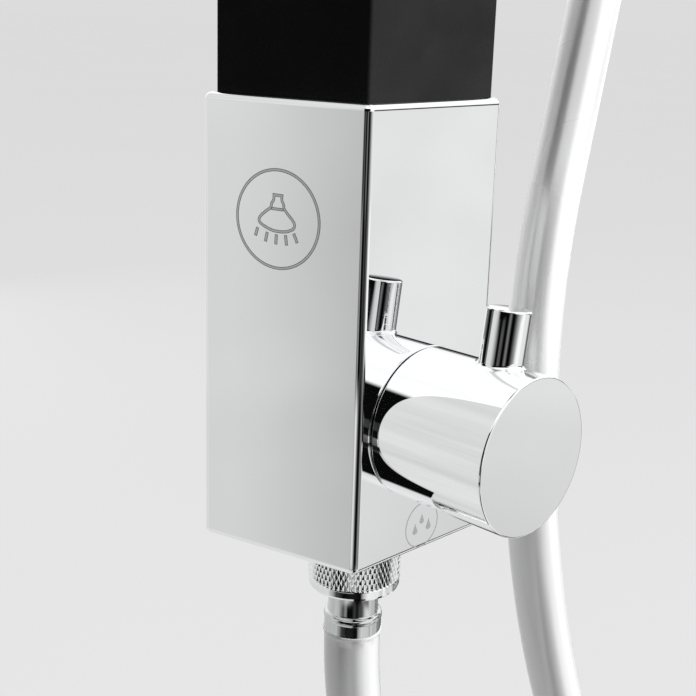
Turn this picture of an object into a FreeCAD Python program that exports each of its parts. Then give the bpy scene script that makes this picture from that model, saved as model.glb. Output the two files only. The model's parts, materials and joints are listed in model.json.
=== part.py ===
"""Wall-mounted shower panel column with a diverter knob, overhead shower and hand shower.

Millimetres, +Z up, the wall is the plane Y = 0 and the panel stands in front of it at -Y.
The origin is the centre of the lower wall bracket's screw pattern, on the wall.
"""
import FreeCAD
import Part
import math
import os

V = FreeCAD.Vector
UP = V(0, 0, 1)
DOWN = V(0, 0, -1)
FRONT = V(0, -1, 0)
RIGHT = V(1, 0, 0)

# ---- panel section and heights
FRONT_WIDTH = 45.0
HOUSING_DEPTH = 44.0
FLANK_ANGLE = 14.0
HOUSING_HEIGHT = 110.0
PANEL_LENGTH = 1200.0
WALL_GAP = 12.0
BRACKET_ABOVE_HOUSING = 60.0
UPPER_BRACKET_BELOW_TOP = 210.0
SLEEVE_WALL = 1.8
SLEEVE_FIT = 0.2
EDGE_ROUND = 1.2
RIM_ROUND = 0.4
BASE_RECESS = 0.6
BASE_THICKNESS = 3.0
BASE_FIT = 0.1
PROFILE_WALL = 1.6
PROFILE_OVERLAP = 25.0
PROFILE_ROUND = 0.9
CAP_THICKNESS = 3.0
PORT_RADIUS = 3.4

# ---- fits
THREAD_FIT = 0.03
RUNNING_FIT = 0.05
HOLE_FIT = 0.1
SCREW_RADIUS = 1.95
SCREW_HEAD_RADIUS = 3.6
SCREW_HEAD_HEIGHT = 2.0
SET_SCREW_LENGTH = 6.0

# ---- wall brackets
BRACKET_WIDTH = 52.0
BRACKET_HEIGHT = 36.0
BRACKET_PLATE = 3.0
BRACKET_HOLE_SPACING = 34.0
BRACKET_ACCESS_RADIUS = 5.0
WALL_HOLE_RADIUS = 2.75
STANDOFF_WIDTH = 22.0
STANDOFF_HEIGHT = 26.0
HOOK_WIDTH = 48.0
HOOK_PLATE = 2.0
HOOK_LEDGE = 8.0
HOOK_LIP = 6.0
HOOK_LIFT = 7.5
HOOK_FIT = 0.2

# ---- valve and diverter cartridge
KNOB_HEIGHT = 33.8
BARREL_RADIUS = 13.5
STEM_RADIUS = 12.5
VALVE_HEIGHT = 74.0
NECK_RADIUS = 13.0
NECK_REACH = 6.0
LOCK_RING_RADIUS = 15.8
LOCK_RING_THICKNESS = 3.2
CAVITY_RADIUS = 11.2
CAVITY_DEPTH = 22.0
FOOT_WIDTH = 40.0
FOOT_DEPTH = 30.0
FOOT_HEIGHT = 5.0
BASE_SCREW_SPACING = 32.0
BASE_SCREW_LENGTH = 6.5
PORT_OFFSET = 6.5
PORT_HOLE_RADIUS = 2.2
INLET_PORT_RADIUS = 2.6
WATERWAY_RADIUS = 5.0
WATERWAY_STOP = 5.5
SEAL_THICKNESS = 1.5
FIXED_DISC_THICKNESS = 4.0
MOVING_DISC_THICKNESS = 3.5
DISC_RADIUS = 9.4
DISC_CHANNEL_DEPTH = 2.0
SPINDLE_FLANGE_RADIUS = 8.4
SPINDLE_FLANGE = 3.0
SPINDLE_RADIUS = 4.0
SPINDLE_FLAT = 3.1
GLAND_THICKNESS = 4.0
GLAND_SLOT = 2.0
DRIVE_PEG_RADIUS = 1.2
DRIVE_PEG_LENGTH = 1.2
DRIVE_PEG_OFFSET = 6.2
STOP_LUG_RADIUS = 9.2
STOP_LUG_ANGLE = 24.0
STOP_PLAY = 1.0
KNOB_TRAVEL = 188.0
O_RING_WIDTH = 2.0
O_RING_DEPTH = 1.1
O_RING_PITCH = 2.9

# ---- control knob
KNOB_RADIUS = 18.75
KNOB_LENGTH = 32.7
KNOB_GAP = 0.25
KNOB_EDGE = 0.5
KNOB_CAVITY_RADIUS = 16.4
KNOB_CAVITY_DEPTH = 7.2
KNOB_BORE_DEPTH = 21.0
LEVER_RADIUS = 5.25
LEVER_TOP = 31.7
LEVER_FROM_FACE = 20.0
LEVER_TURN = 8.0
LEVER_FILLET = 2.0
KNOB_SCREW_FROM_FACE = 14.0

# ---- pipe threads and hose fittings
HALF_INCH_RADIUS = 10.45
THREE_EIGHTH_RADIUS = 8.3
INLET_DEPTH = 14.0
INLET_REACH = 12.0
INLET_BORE = 7.0
INLET_HEX = 24.0
INLET_HEX_LENGTH = 5.0
FILTER_WALL = 0.8
FILTER_LENGTH = 8.0
OUTLET_COLLAR_RADIUS = 11.0
OUTLET_COLLAR = 2.0
OUTLET_THREAD = 7.0
OUTLET_BORE = 4.5
CHECK_VALVE_RADIUS = 6.9
CHECK_VALVE_LENGTH = 12.0
HOSE_NUT_RADIUS = 12.2
HOSE_NUT_HEIGHT = 13.9
HOSE_NUT_FLOOR = 2.5
HOSE_NUT_CHAMFER = 0.8
WASHER_THICKNESS = 2.0
TAIL_COLLAR_RADIUS = 9.8
TAIL_COLLAR = 2.6
TAIL_NECK_RADIUS = 6.95
TAIL_NECK = 11.0
FERRULE_RADIUS = 7.8
FERRULE_LENGTH = 6.0
FERRULE_GROOVE = 0.5
TAIL_BORE = 4.2
HOSE_RADIUS = 7.5
HOSE_FIRST_RUN = 13.0
HOSE_LAST_RUN = 34.3
HOSE_LOOP = [V(3.5, -36.5, -243.1), V(2.0, -40, -288), V(-18, -44, -346), V(-37, -49, -408), V(-42, -54, -471),
             V(-11, -58, -523), V(43, -60, -543), V(98, -60, -525), V(130, -59, -474), V(130, -57, -411),
             V(114, -54, -342), V(89, -51, -277), V(66, -49, -218), V(57, -46, -163), V(64, -40, -108),
             V(86, -33, -58), V(108, -27, 2), V(120, -22, 75), V(119, -18, 150), V(108, -16, 222),
             V(94, -16, 290), V(81, -16, 352), V(73, -17, 408)]

# ---- riser, elbow and overhead arm
RISER_RADIUS = 6.0
RISER_WALL = 1.0
RISER_SOCKET = 12.0
RISER_NUT_HEX = 22.0
RISER_NOSE_RADIUS = 9.6
RISER_NOSE = 9.0
RISER_NUT_CAP = 4.0
CLIP_COUNT = 3
CLIP_HEIGHT = 10.0
CLIP_WIDTH = 16.0
ARM_BELOW_TOP = 34.0
ELBOW_RADIUS = 9.5
ELBOW_CROWN = 1.5
ELBOW_RUN_RADIUS = 5.6
ELBOW_COLLAR_RADIUS = 13.0
ELBOW_COLLAR = 3.0
ELBOW_THREAD_RADIUS = 9.0
ELBOW_THREAD = 16.0
ARM_NUT_HEX = 24.0
ARM_NUT_THICKNESS = 4.0
ROSETTE_RADIUS = 18.5
ROSETTE_HEIGHT = 7.0
ROSETTE_WALL = 1.5
ARM_RADIUS = 11.0
ARM_BORE = 8.4
ARM_REACH = 330.0
ARM_BEND = 36.0
ARM_DROP = 16.0
ARM_SOCKET = 11.0

# ---- ball joint and overhead shower
BALL_RADIUS = 9.0
BALL_HEX = 22.0
BALL_HEX_HEIGHT = 6.0
BALL_NECK_RADIUS = 5.2
BALL_DROP = 14.5
BALL_BORE = 3.5
SEAT_WALL = 1.45
SEAT_HALF_ANGLE = 34.0
HEAD_TILT = 15.0
BALL_NUT_RADIUS = 16.0
BALL_NUT_ABOVE = 8.6
BALL_NUT_BELOW = 8.0
NUT_MOUTH_GAP = 0.4
HUB_RADIUS = 13.2
HEAD_RADIUS = 100.0
HEAD_THICKNESS = 9.0
HEAD_HUB_DROP = 17.0
HEAD_WALL = 2.0
FACE_THICKNESS = 3.0
NOZZLE_RADIUS = 1.9
NOZZLE_TIP_RADIUS = 1.1
NOZZLE_PROUD = 2.0
HEAD_NOZZLE_RINGS = 3
HEAD_NOZZLE_PITCH = 28.0
NOZZLES_PER_RING = 6

# ---- hand shower holder
HOLDER_HEIGHT = 526.0
HOLDER_BASE_WIDTH = 22.0
HOLDER_BASE_HEIGHT = 50.0
HOLDER_BASE_THICKNESS = 7.0
HOLDER_SOCKET = 4.0
HOLDER_STUB_RADIUS = 8.0
HOLDER_REACH = 46.0
HOLDER_SCREW_SPACING = 34.0
HOLDER_SCREW_LENGTH = 12.0
HOLDER_LEAN = 18.0
CUP_RADIUS = 16.5
CUP_HEIGHT = 26.0
LINER_RADIUS = 13.8
CUP_SLOT = 16.4

# ---- hand shower
CONE_TOP_RADIUS = 12.4
CONE_BOTTOM_RADIUS = 10.8
CONE_ABOVE = 18.0
CONE_BELOW = 19.0
CONE_FLOOR = 2.0
HANDLE_ROOT_RADIUS = 11.4
HANDLE_GRIP_RADIUS = 12.6
HANDLE_LENGTH = 140.0
HANDLE_BORE = 6.0
SPRAY_RADIUS = 50.0
SPRAY_THICKNESS = 15.0
SPRAY_TILT = 15.0
SPRAY_RISE = 36.0
SPRAY_FACE_RADIUS = 45.5
SPRAY_FACE_THICKNESS = 2.5
SPRAY_CHAMBER = 4.0
SPRAY_NOZZLE_RINGS = 2
SPRAY_NOZZLE_PITCH = 14.0
HANDSET_LIFT = 60.0

# ---- places worked out from the sizes above
HOUSING_TOP = -BRACKET_ABOVE_HOUSING
BRACKET_SPACING = PANEL_LENGTH - HOUSING_HEIGHT - BRACKET_ABOVE_HOUSING - UPPER_BRACKET_BELOW_TOP
HOUSING_BOTTOM = HOUSING_TOP - HOUSING_HEIGHT
HOUSING_BACK = -WALL_GAP
HOUSING_FRONT = HOUSING_BACK - HOUSING_DEPTH
AXIS_Y = (HOUSING_BACK + HOUSING_FRONT) / 2
PROFILE_INSET = SLEEVE_WALL + SLEEVE_FIT
PROFILE_FRONT = HOUSING_FRONT + PROFILE_INSET
PROFILE_BACK = HOUSING_BACK - PROFILE_INSET
PROFILE_BOTTOM = HOUSING_TOP - PROFILE_OVERLAP
PROFILE_TOP = HOUSING_BOTTOM + PANEL_LENGTH - CAP_THICKNESS
BASE_BOTTOM = HOUSING_BOTTOM + BASE_RECESS
BASE_TOP = BASE_BOTTOM + BASE_THICKNESS
KNOB_Z = HOUSING_BOTTOM + KNOB_HEIGHT
VALVE_TOP = BASE_TOP + VALVE_HEIGHT
SLEEVE_INNER_FRONT = HOUSING_FRONT + SLEEVE_WALL
SLEEVE_INNER_BACK = HOUSING_BACK - SLEEVE_WALL
NECK_END = HOUSING_FRONT - NECK_REACH
CAVITY_BACK = NECK_END + CAVITY_DEPTH
ARM_Z = PROFILE_TOP - ARM_BELOW_TOP
ARM_END_Y = PROFILE_FRONT - ARM_REACH
ARM_END_Z = ARM_Z - ARM_BEND - ARM_DROP
BALL_Z = ARM_END_Z - BALL_HEX_HEIGHT - BALL_DROP
OUTLET_END = BASE_BOTTOM - OUTLET_COLLAR - OUTLET_THREAD
TAIL_TOP = OUTLET_END - WASHER_THICKNESS
NUT_TOP = BASE_BOTTOM - OUTLET_COLLAR - HOLE_FIT
NUT_FLOOR_TOP = TAIL_TOP - TAIL_COLLAR
HOSE_START_Z = NUT_FLOOR_TOP - TAIL_NECK - HOSE_NUT_FLOOR - FERRULE_LENGTH
TAN_FLANK = math.tan(math.radians(FLANK_ANGLE))
COS_FLANK = math.cos(math.radians(FLANK_ANGLE))
SIN_FLANK = math.sin(math.radians(FLANK_ANGLE))


def cylinder(radius, length, base, axis):
    """A round bar from base along axis."""
    return Part.makeCylinder(radius, length, base, axis)


def ring(outer, inner, length, base, axis):
    """A round bar with a bore right through it."""
    overrun = axis * 1.0
    bore = cylinder(inner, length + 2.0, base - overrun, axis)
    return cylinder(outer, length, base, axis).cut(bore)


def block(low, high):
    """A box between two corners."""
    size = high - low
    return Part.makeBox(size.x, size.y, size.z, low)


def hexagon(across_flats, length, base, axis):
    """A six-sided bar from base along axis."""
    corner = across_flats / 2 / math.cos(math.radians(30))
    points = []
    for i in range(7):
        angle = math.radians(60 * i)
        points.append(V(corner * math.cos(angle), corner * math.sin(angle), 0))
    bar = Part.Face(Part.makePolygon(points)).extrude(V(0, 0, length))
    return stand(bar, base, axis)


def stand(shape, base, axis):
    """Turn a shape built about +Z so that it stands on base along axis."""
    moved = shape.copy()
    moved.Placement = FreeCAD.Placement(base, FreeCAD.Rotation(UP, axis))
    return moved


def revolve(outline, base, axis):
    """A solid turned from (radius, height) points, standing on base along axis."""
    points = [V(radius, 0, height) for radius, height in outline]
    face = Part.Face(Part.makePolygon(points + [points[0]]))
    return stand(face.revolve(V(0, 0, 0), UP, 360), base, axis)


def half_width(y, inset):
    """Half the panel's width at depth y, for a section set in from the housing's outside."""
    return FRONT_WIDTH / 2 + (y - HOUSING_FRONT) * TAN_FLANK - inset / COS_FLANK


def section(inset, bottom, top):
    """The panel's wedge-sided section, set in from the housing's outside, between two heights."""
    front = HOUSING_FRONT + inset
    back = HOUSING_BACK - inset
    near = half_width(front, inset)
    far = half_width(back, inset)
    corners = [V(-near, front, bottom), V(near, front, bottom), V(far, back, bottom), V(-far, back, bottom)]
    face = Part.Face(Part.makePolygon(corners + [corners[0]]))
    return face.extrude(V(0, 0, top - bottom))


def upright_edges(shape):
    """The edges that run along Z."""
    return [edge for edge in shape.Edges if edge.BoundBox.XLength + edge.BoundBox.YLength < 1e-4]


def level_edges(shape, height):
    """The edges that lie in the level plane at a height."""
    return [edge for edge in shape.Edges
            if abs(edge.BoundBox.ZMin - height) < 1e-4 and abs(edge.BoundBox.ZMax - height) < 1e-4]


def export(name, shape):
    """Write one sub-part, cleaned of seams left by the cuts."""
    tidy = shape.removeSplitter() if len(shape.Solids) == 1 else shape
    print(f"{name}: {len(tidy.Solids)} solid(s), {tidy.Volume:.0f} mm3, valid {tidy.isValid()}")
    tidy.exportStep(f"parts/{name}.step")


def group(shapes):
    """Separate solids that share one node."""
    return Part.makeCompound(shapes)


def countersunk_screw(base, axis, length):
    """A countersunk screw whose flat head lies at base, its shank along axis."""
    outline = [(0, 0), (SCREW_HEAD_RADIUS, 0), (SCREW_RADIUS, SCREW_HEAD_HEIGHT), (SCREW_RADIUS, length),
               (0, length)]
    socket = hexagon(SCREW_RADIUS, 1.0, base, axis)
    return revolve(outline, base, axis).cut(socket)


def countersink(base, axis, length):
    """The hole that a countersunk screw fills, with its thread's clearance."""
    outline = [(0, 0), (SCREW_HEAD_RADIUS + THREAD_FIT, 0), (SCREW_RADIUS + THREAD_FIT, SCREW_HEAD_HEIGHT),
               (SCREW_RADIUS + THREAD_FIT, length), (0, length)]
    return revolve(outline, base, axis)


def set_screw(base, axis, length):
    """A headless screw with a hexagon socket at its outer end, which is at base."""
    return cylinder(SCREW_RADIUS, length, base, axis).cut(hexagon(SCREW_RADIUS, 2.0, base, axis))


# ---------------------------------------------------------------- panel

def port_places():
    """Where the two screw ports run up the inside of the profile's flanks."""
    reach = half_width(AXIS_Y, PROFILE_INSET + PROFILE_WALL) - PORT_RADIUS + 0.4
    return [V(-reach, AXIS_Y, 0), V(reach, AXIS_Y, 0)]


def bracket_heights():
    """The heights of the lower and the upper wall bracket."""
    return [0.0, BRACKET_SPACING]


def hook_top(height):
    """The ledge that carries the profile's back wall, for a bracket at a height."""
    return height + HOOK_LEDGE


def lock_screw_places():
    """Base and axis of the side screws that lock the profile to the bracket hooks."""
    y = PROFILE_BACK - PROFILE_WALL - HOOK_FIT - SCREW_RADIUS - 1.0
    places = []
    for height in bracket_heights():
        for side in (-1, 1):
            outer = half_width(y, PROFILE_INSET) - 1.0
            places.append((V(side * outer, y, height), V(-side, 0, 0)))
    return places


def holder_frame():
    """Centre of the holder's foot on the profile's right flank, and the flank's outward normal."""
    foot = V(half_width(AXIS_Y, PROFILE_INSET), AXIS_Y, HOLDER_HEIGHT)
    normal = V(COS_FLANK, -SIN_FLANK, 0)
    return foot, normal


def holder_screw_places():
    """Where the two holder screws start, on the outside of the holder's foot."""
    foot, normal = holder_frame()
    outside = foot + normal * HOLDER_BASE_THICKNESS
    return [outside + UP * (side * HOLDER_SCREW_SPACING / 2) for side in (-1, 1)]


def make_profile():
    """The extruded column: hollow, with two screw ports, hook windows and fitting holes."""
    outer = section(PROFILE_INSET, PROFILE_BOTTOM, PROFILE_TOP)
    outer = outer.makeFillet(PROFILE_ROUND, upright_edges(outer))
    inner = section(PROFILE_INSET + PROFILE_WALL, PROFILE_BOTTOM - 1, PROFILE_TOP + 1)
    profile = outer.cut(inner)
    length = PROFILE_TOP - PROFILE_BOTTOM
    for place in port_places():
        port = cylinder(PORT_RADIUS, length, place + UP * PROFILE_BOTTOM, UP)
        profile = profile.fuse(port.common(outer))
    for place in port_places():
        profile = profile.cut(cylinder(SCREW_RADIUS + THREAD_FIT, length + 2, place + UP * (PROFILE_BOTTOM - 1), UP))
    for height in bracket_heights():
        ledge = hook_top(height)
        low = V(-HOOK_WIDTH / 2 - 0.5, PROFILE_BACK - PROFILE_WALL - 1, ledge - HOOK_LEDGE - HOOK_LIP - HOOK_LIFT)
        high = V(HOOK_WIDTH / 2 + 0.5, PROFILE_BACK + 1, ledge)
        profile = profile.cut(block(low, high))
    for base, axis in lock_screw_places():
        profile = profile.cut(cylinder(SCREW_RADIUS + THREAD_FIT, 9, base - axis * 2, axis))
    arm_hole = cylinder(ELBOW_THREAD_RADIUS + HOLE_FIT, 6, V(0, PROFILE_FRONT + 3, ARM_Z), FRONT)
    profile = profile.cut(arm_hole)
    foot, normal = holder_frame()
    for place in holder_screw_places():
        profile = profile.cut(cylinder(SCREW_RADIUS + THREAD_FIT, 14, place, normal * -1))
    for place in housing_screw_places():
        profile = profile.cut(cylinder(SCREW_RADIUS + THREAD_FIT, 10, place, FRONT))
    return profile


def make_top_cap():
    """The flat cap that closes the column, with its two countersunk holes."""
    cap = section(PROFILE_INSET, PROFILE_TOP, PROFILE_TOP + CAP_THICKNESS)
    cap = cap.makeFillet(PROFILE_ROUND, upright_edges(cap) + level_edges(cap, PROFILE_TOP + CAP_THICKNESS))
    for place in port_places():
        cap = cap.cut(countersink(place + UP * (PROFILE_TOP + CAP_THICKNESS), DOWN, CAP_THICKNESS + 2))
    return cap


def make_cap_screws():
    """Two countersunk screws from the cap down into the profile's ports."""
    top = UP * (PROFILE_TOP + CAP_THICKNESS)
    return group([countersunk_screw(place + top, DOWN, CAP_THICKNESS + 9) for place in port_places()])


def wall_screw_places(height):
    """The two fixing points of a bracket, on the front of its plate."""
    return [V(side * BRACKET_HOLE_SPACING / 2, -BRACKET_PLATE, height) for side in (-1, 1)]


def make_bracket(height):
    """A wall plate with a standoff and an upturned hook, bored so that a driver reaches the wall screws."""
    half = BRACKET_WIDTH / 2
    plate = block(V(-half, -BRACKET_PLATE, height - BRACKET_HEIGHT / 2), V(half, 0, height + BRACKET_HEIGHT / 2))
    for place in wall_screw_places(height):
        plate = plate.cut(cylinder(WALL_HOLE_RADIUS, BRACKET_PLATE + 2, place + V(0, -1, 0), V(0, 1, 0)))
    standoff = block(V(-STANDOFF_WIDTH / 2, PROFILE_BACK, height - STANDOFF_HEIGHT / 2),
                     V(STANDOFF_WIDTH / 2, -BRACKET_PLATE, height + STANDOFF_HEIGHT / 2))
    behind = PROFILE_BACK - PROFILE_WALL - HOOK_FIT
    ledge = hook_top(height)
    tongue = block(V(-HOOK_WIDTH / 2, behind - HOOK_PLATE, ledge - HOOK_LEDGE),
                   V(HOOK_WIDTH / 2, PROFILE_BACK, ledge))
    depth = 2 * SCREW_RADIUS + 2
    lip = block(V(-HOOK_WIDTH / 2, behind - depth, ledge - HOOK_LEDGE - HOOK_LIP + 2),
                V(HOOK_WIDTH / 2, behind, ledge + HOOK_LIP))
    bracket = plate.fuse([standoff, tongue, lip]).removeSplitter()
    for place in wall_screw_places(height):
        access = cylinder(BRACKET_ACCESS_RADIUS, depth + HOOK_PLATE + 2, V(place.x, PROFILE_BACK + 1, height), FRONT)
        bracket = bracket.cut(access)
    return bracket


def make_lock_screws():
    """Side screws from the profile's flanks onto the bracket hooks."""
    screws = []
    for base, axis in lock_screw_places():
        length = abs(base.x) - HOOK_WIDTH / 2
        screws.append(set_screw(base, axis, length))
    return group(screws)


# ---------------------------------------------------------------- control housing

def housing_screw_places():
    """Where the two rear screws that hold the sleeve on the column start."""
    return [V(side * BASE_SCREW_SPACING / 2, HOUSING_BACK, HOUSING_TOP - PROFILE_OVERLAP / 2) for side in (-1, 1)]


def make_control_housing():
    """The chrome sleeve round the valve, open at both ends, pierced for the knob and the inlet."""
    outer = section(0, HOUSING_BOTTOM, HOUSING_TOP)
    outer = outer.makeFillet(EDGE_ROUND, upright_edges(outer))
    outer = outer.makeFillet(RIM_ROUND, level_edges(outer, HOUSING_TOP) + level_edges(outer, HOUSING_BOTTOM))
    sleeve = outer.cut(section(SLEEVE_WALL, HOUSING_BOTTOM - 1, HOUSING_TOP + 1))
    knob_hole = cylinder(NECK_RADIUS + HOLE_FIT, SLEEVE_WALL + 2, V(0, SLEEVE_INNER_FRONT + 1, KNOB_Z), FRONT)
    inlet_hole = cylinder(HALF_INCH_RADIUS + 1, SLEEVE_WALL + 2, V(0, HOUSING_BACK + 1, KNOB_Z), FRONT)
    sleeve = sleeve.cut(knob_hole).cut(inlet_hole)
    for place in housing_screw_places():
        sleeve = sleeve.cut(cylinder(SCREW_RADIUS + THREAD_FIT, SLEEVE_WALL + 2, place + V(0, 1, 0), FRONT))
    return sleeve


def make_housing_screws():
    """Two headless screws through the sleeve's back wall into the column's back wall."""
    return group([set_screw(place, FRONT, SET_SCREW_LENGTH) for place in housing_screw_places()])


def base_screw_places():
    """Where the two base screws start, on the underside of the base plate."""
    return [V(side * BASE_SCREW_SPACING / 2, AXIS_Y, BASE_BOTTOM) for side in (-1, 1)]


def make_housing_base():
    """The plate that closes the sleeve, screwed to the valve's foot."""
    plate = section(SLEEVE_WALL + BASE_FIT, BASE_BOTTOM, BASE_TOP)
    plate = plate.cut(cylinder(THREE_EIGHTH_RADIUS + HOLE_FIT, BASE_THICKNESS + 2, V(0, AXIS_Y, BASE_BOTTOM - 1), UP))
    for place in base_screw_places():
        plate = plate.cut(countersink(place, UP, BASE_THICKNESS + 2))
    return plate


def make_base_screws():
    """Two countersunk screws up through the base plate into the valve's foot."""
    return group([countersunk_screw(place, UP, BASE_SCREW_LENGTH) for place in base_screw_places()])


# ---------------------------------------------------------------- valve

def make_valve_body():
    """The brass body: a cartridge barrel across an upright stem, with its waterways."""
    barrel_length = SLEEVE_INNER_BACK - SLEEVE_INNER_FRONT
    barrel = cylinder(BARREL_RADIUS, barrel_length, V(0, SLEEVE_INNER_BACK, KNOB_Z), FRONT)
    neck = cylinder(NECK_RADIUS, SLEEVE_WALL + NECK_REACH, V(0, SLEEVE_INNER_FRONT, KNOB_Z), FRONT)
    stem = cylinder(STEM_RADIUS, VALVE_HEIGHT - RISER_NOSE, V(0, AXIS_Y, BASE_TOP), UP)
    nose = cylinder(RISER_NOSE_RADIUS, RISER_NOSE, V(0, AXIS_Y, VALVE_TOP - RISER_NOSE), UP)
    foot = block(V(-FOOT_WIDTH / 2, AXIS_Y - FOOT_DEPTH / 2, BASE_TOP),
                 V(FOOT_WIDTH / 2, AXIS_Y + FOOT_DEPTH / 2, BASE_TOP + FOOT_HEIGHT))
    body = barrel.fuse([neck, stem, nose, foot])
    cuts = [cylinder(CAVITY_RADIUS, CAVITY_DEPTH, V(0, CAVITY_BACK, KNOB_Z), FRONT),
            cylinder(INLET_PORT_RADIUS, HOUSING_DEPTH / 2, V(0, SLEEVE_INNER_BACK - INLET_DEPTH + 1, KNOB_Z), FRONT),
            cylinder(HALF_INCH_RADIUS + THREAD_FIT, INLET_DEPTH, V(0, SLEEVE_INNER_BACK, KNOB_Z), FRONT),
            cylinder(RISER_RADIUS + RUNNING_FIT, RISER_SOCKET, V(0, AXIS_Y, VALVE_TOP - RISER_SOCKET), UP),
            cylinder(WATERWAY_RADIUS, VALVE_TOP - KNOB_Z - WATERWAY_STOP, V(0, AXIS_Y, KNOB_Z + WATERWAY_STOP), UP),
            cylinder(THREE_EIGHTH_RADIUS + THREAD_FIT, 12, V(0, AXIS_Y, BASE_TOP), UP),
            cylinder(WATERWAY_RADIUS, KNOB_Z - WATERWAY_STOP - BASE_TOP, V(0, AXIS_Y, BASE_TOP), UP)]
    for side in (-1, 1):
        port = V(0, AXIS_Y, KNOB_Z + side * PORT_OFFSET)
        cuts.append(cylinder(PORT_HOLE_RADIUS, AXIS_Y - CAVITY_BACK + 1, port, FRONT))
    for place in base_screw_places():
        cuts.append(cylinder(SCREW_RADIUS + THREAD_FIT, BASE_SCREW_LENGTH + 1, place, UP))
    for cut in cuts:
        body = body.cut(cut)
    return body


def make_lock_ring():
    """The ring nut that clamps the valve's neck to the housing's front wall."""
    lock = ring(LOCK_RING_RADIUS, NECK_RADIUS + THREAD_FIT, LOCK_RING_THICKNESS, V(0, HOUSING_FRONT, KNOB_Z), FRONT)
    for side in (-1, 1):
        centre = V(side * LOCK_RING_RADIUS, HOUSING_FRONT, KNOB_Z)
        slot = block(centre + V(-1.2, -LOCK_RING_THICKNESS - 1, -1.5), centre + V(1.2, 1, 1.5))
        lock = lock.cut(slot)
    return lock


def stack(depth):
    """A point on the knob's axis, a depth in front of the cartridge cavity's floor."""
    return V(0, CAVITY_BACK - depth, KNOB_Z)


def port_holes(length, depth):
    """The three waterway holes that the seal and the fixed disc share."""
    holes = [cylinder(INLET_PORT_RADIUS, length + 2, stack(depth - 1), FRONT)]
    for side in (-1, 1):
        holes.append(cylinder(PORT_HOLE_RADIUS, length + 2, stack(depth - 1) + UP * (side * PORT_OFFSET), FRONT))
    return holes


DISC_START = SEAL_THICKNESS
MOVING_START = DISC_START + FIXED_DISC_THICKNESS
FLANGE_START = MOVING_START + MOVING_DISC_THICKNESS
SHELL_FRONT = CAVITY_DEPTH - GLAND_THICKNESS
SHELL_WALL_START = FLANGE_START + SPINDLE_FLANGE + HOLE_FIT


def make_cartridge_seal():
    """The rubber seal under the fixed disc."""
    return cylinder(CAVITY_RADIUS - HOLE_FIT, SEAL_THICKNESS, stack(0), FRONT).cut(port_holes(SEAL_THICKNESS, 0))


def make_fixed_disc():
    """The fixed ceramic disc with the inlet and the two outlets."""
    disc = cylinder(DISC_RADIUS, FIXED_DISC_THICKNESS, stack(DISC_START), FRONT)
    return disc.cut(port_holes(FIXED_DISC_THICKNESS, DISC_START))


def drive_pegs(radius):
    """The two pegs that turn the moving disc with the spindle."""
    start = stack(FLANGE_START)
    return [cylinder(radius, DRIVE_PEG_LENGTH, start + RIGHT * (side * DRIVE_PEG_OFFSET), V(0, 1, 0))
            for side in (-1, 1)]


def arc_segment(outer, inner, length, depth, start, span):
    """Part of a ring round the knob's axis, from an angle, through an angle, as seen from the front."""
    piece = Part.makeCylinder(outer, length, V(0, 0, 0), UP, span)
    piece = piece.cut(cylinder(inner, length + 2, V(0, 0, -1), UP))
    piece.rotate(V(0, 0, 0), UP, start)
    whole = FreeCAD.Placement(stack(depth), FreeCAD.Rotation(UP, FRONT))
    piece.Placement = whole.multiply(piece.Placement)
    return piece


def make_moving_disc():
    """The moving ceramic disc, whose channel joins the inlet to the outlet that it points at."""
    disc = cylinder(DISC_RADIUS, MOVING_DISC_THICKNESS, stack(MOVING_START), FRONT)
    half = INLET_PORT_RADIUS
    start = stack(MOVING_START)
    channel = block(start + V(-half, -DISC_CHANNEL_DEPTH, 0), start + V(half, 0, PORT_OFFSET))
    ends = [cylinder(half, DISC_CHANNEL_DEPTH, start + UP * rise, FRONT) for rise in (0, PORT_OFFSET)]
    return turn_with_knob(disc.cut([channel.fuse(ends)] + drive_pegs(DRIVE_PEG_RADIUS + RUNNING_FIT)))


def turn_with_knob(shape):
    """Turn a shape built with the lever straight up to where the lever rests."""
    turned = shape.copy()
    turned.rotate(V(0, 0, KNOB_Z), V(0, 1, 0), LEVER_TURN)
    return turned


def spindle_bar(radius, flat, length, depth):
    """A round bar along the knob's axis with one flat on its upper side."""
    bar = cylinder(radius, length, stack(depth), FRONT)
    start = stack(depth)
    trim = block(start + V(-radius - 1, -length - 1, flat), start + V(radius + 1, 1, radius + 2))
    return bar.cut(trim)


def make_spindle():
    """The brass spindle: a flange with its drive pegs and stop lug, and a flatted bar into the knob."""
    flange = cylinder(SPINDLE_FLANGE_RADIUS, SPINDLE_FLANGE, stack(FLANGE_START), FRONT)
    lug = arc_segment(STOP_LUG_RADIUS, SPINDLE_FLANGE_RADIUS - 1, SPINDLE_FLANGE, FLANGE_START,
                      90 - STOP_LUG_ANGLE / 2, STOP_LUG_ANGLE)
    round_length = CAVITY_DEPTH - FLANGE_START + 1
    shaft = cylinder(SPINDLE_RADIUS, round_length, stack(FLANGE_START), FRONT)
    reach = CAVITY_DEPTH + KNOB_BORE_DEPTH - NECK_REACH - 0.5
    tip = spindle_bar(SPINDLE_RADIUS, SPINDLE_FLAT, reach - FLANGE_START - round_length,
                      FLANGE_START + round_length)
    return turn_with_knob(flange.fuse([shaft, tip, lug] + drive_pegs(DRIVE_PEG_RADIUS)).removeSplitter())


def o_ring_depths():
    """How far in front of the cavity's floor each spindle seal's groove starts."""
    return [SHELL_WALL_START + 0.9 + i * O_RING_PITCH for i in range(2)]


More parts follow.
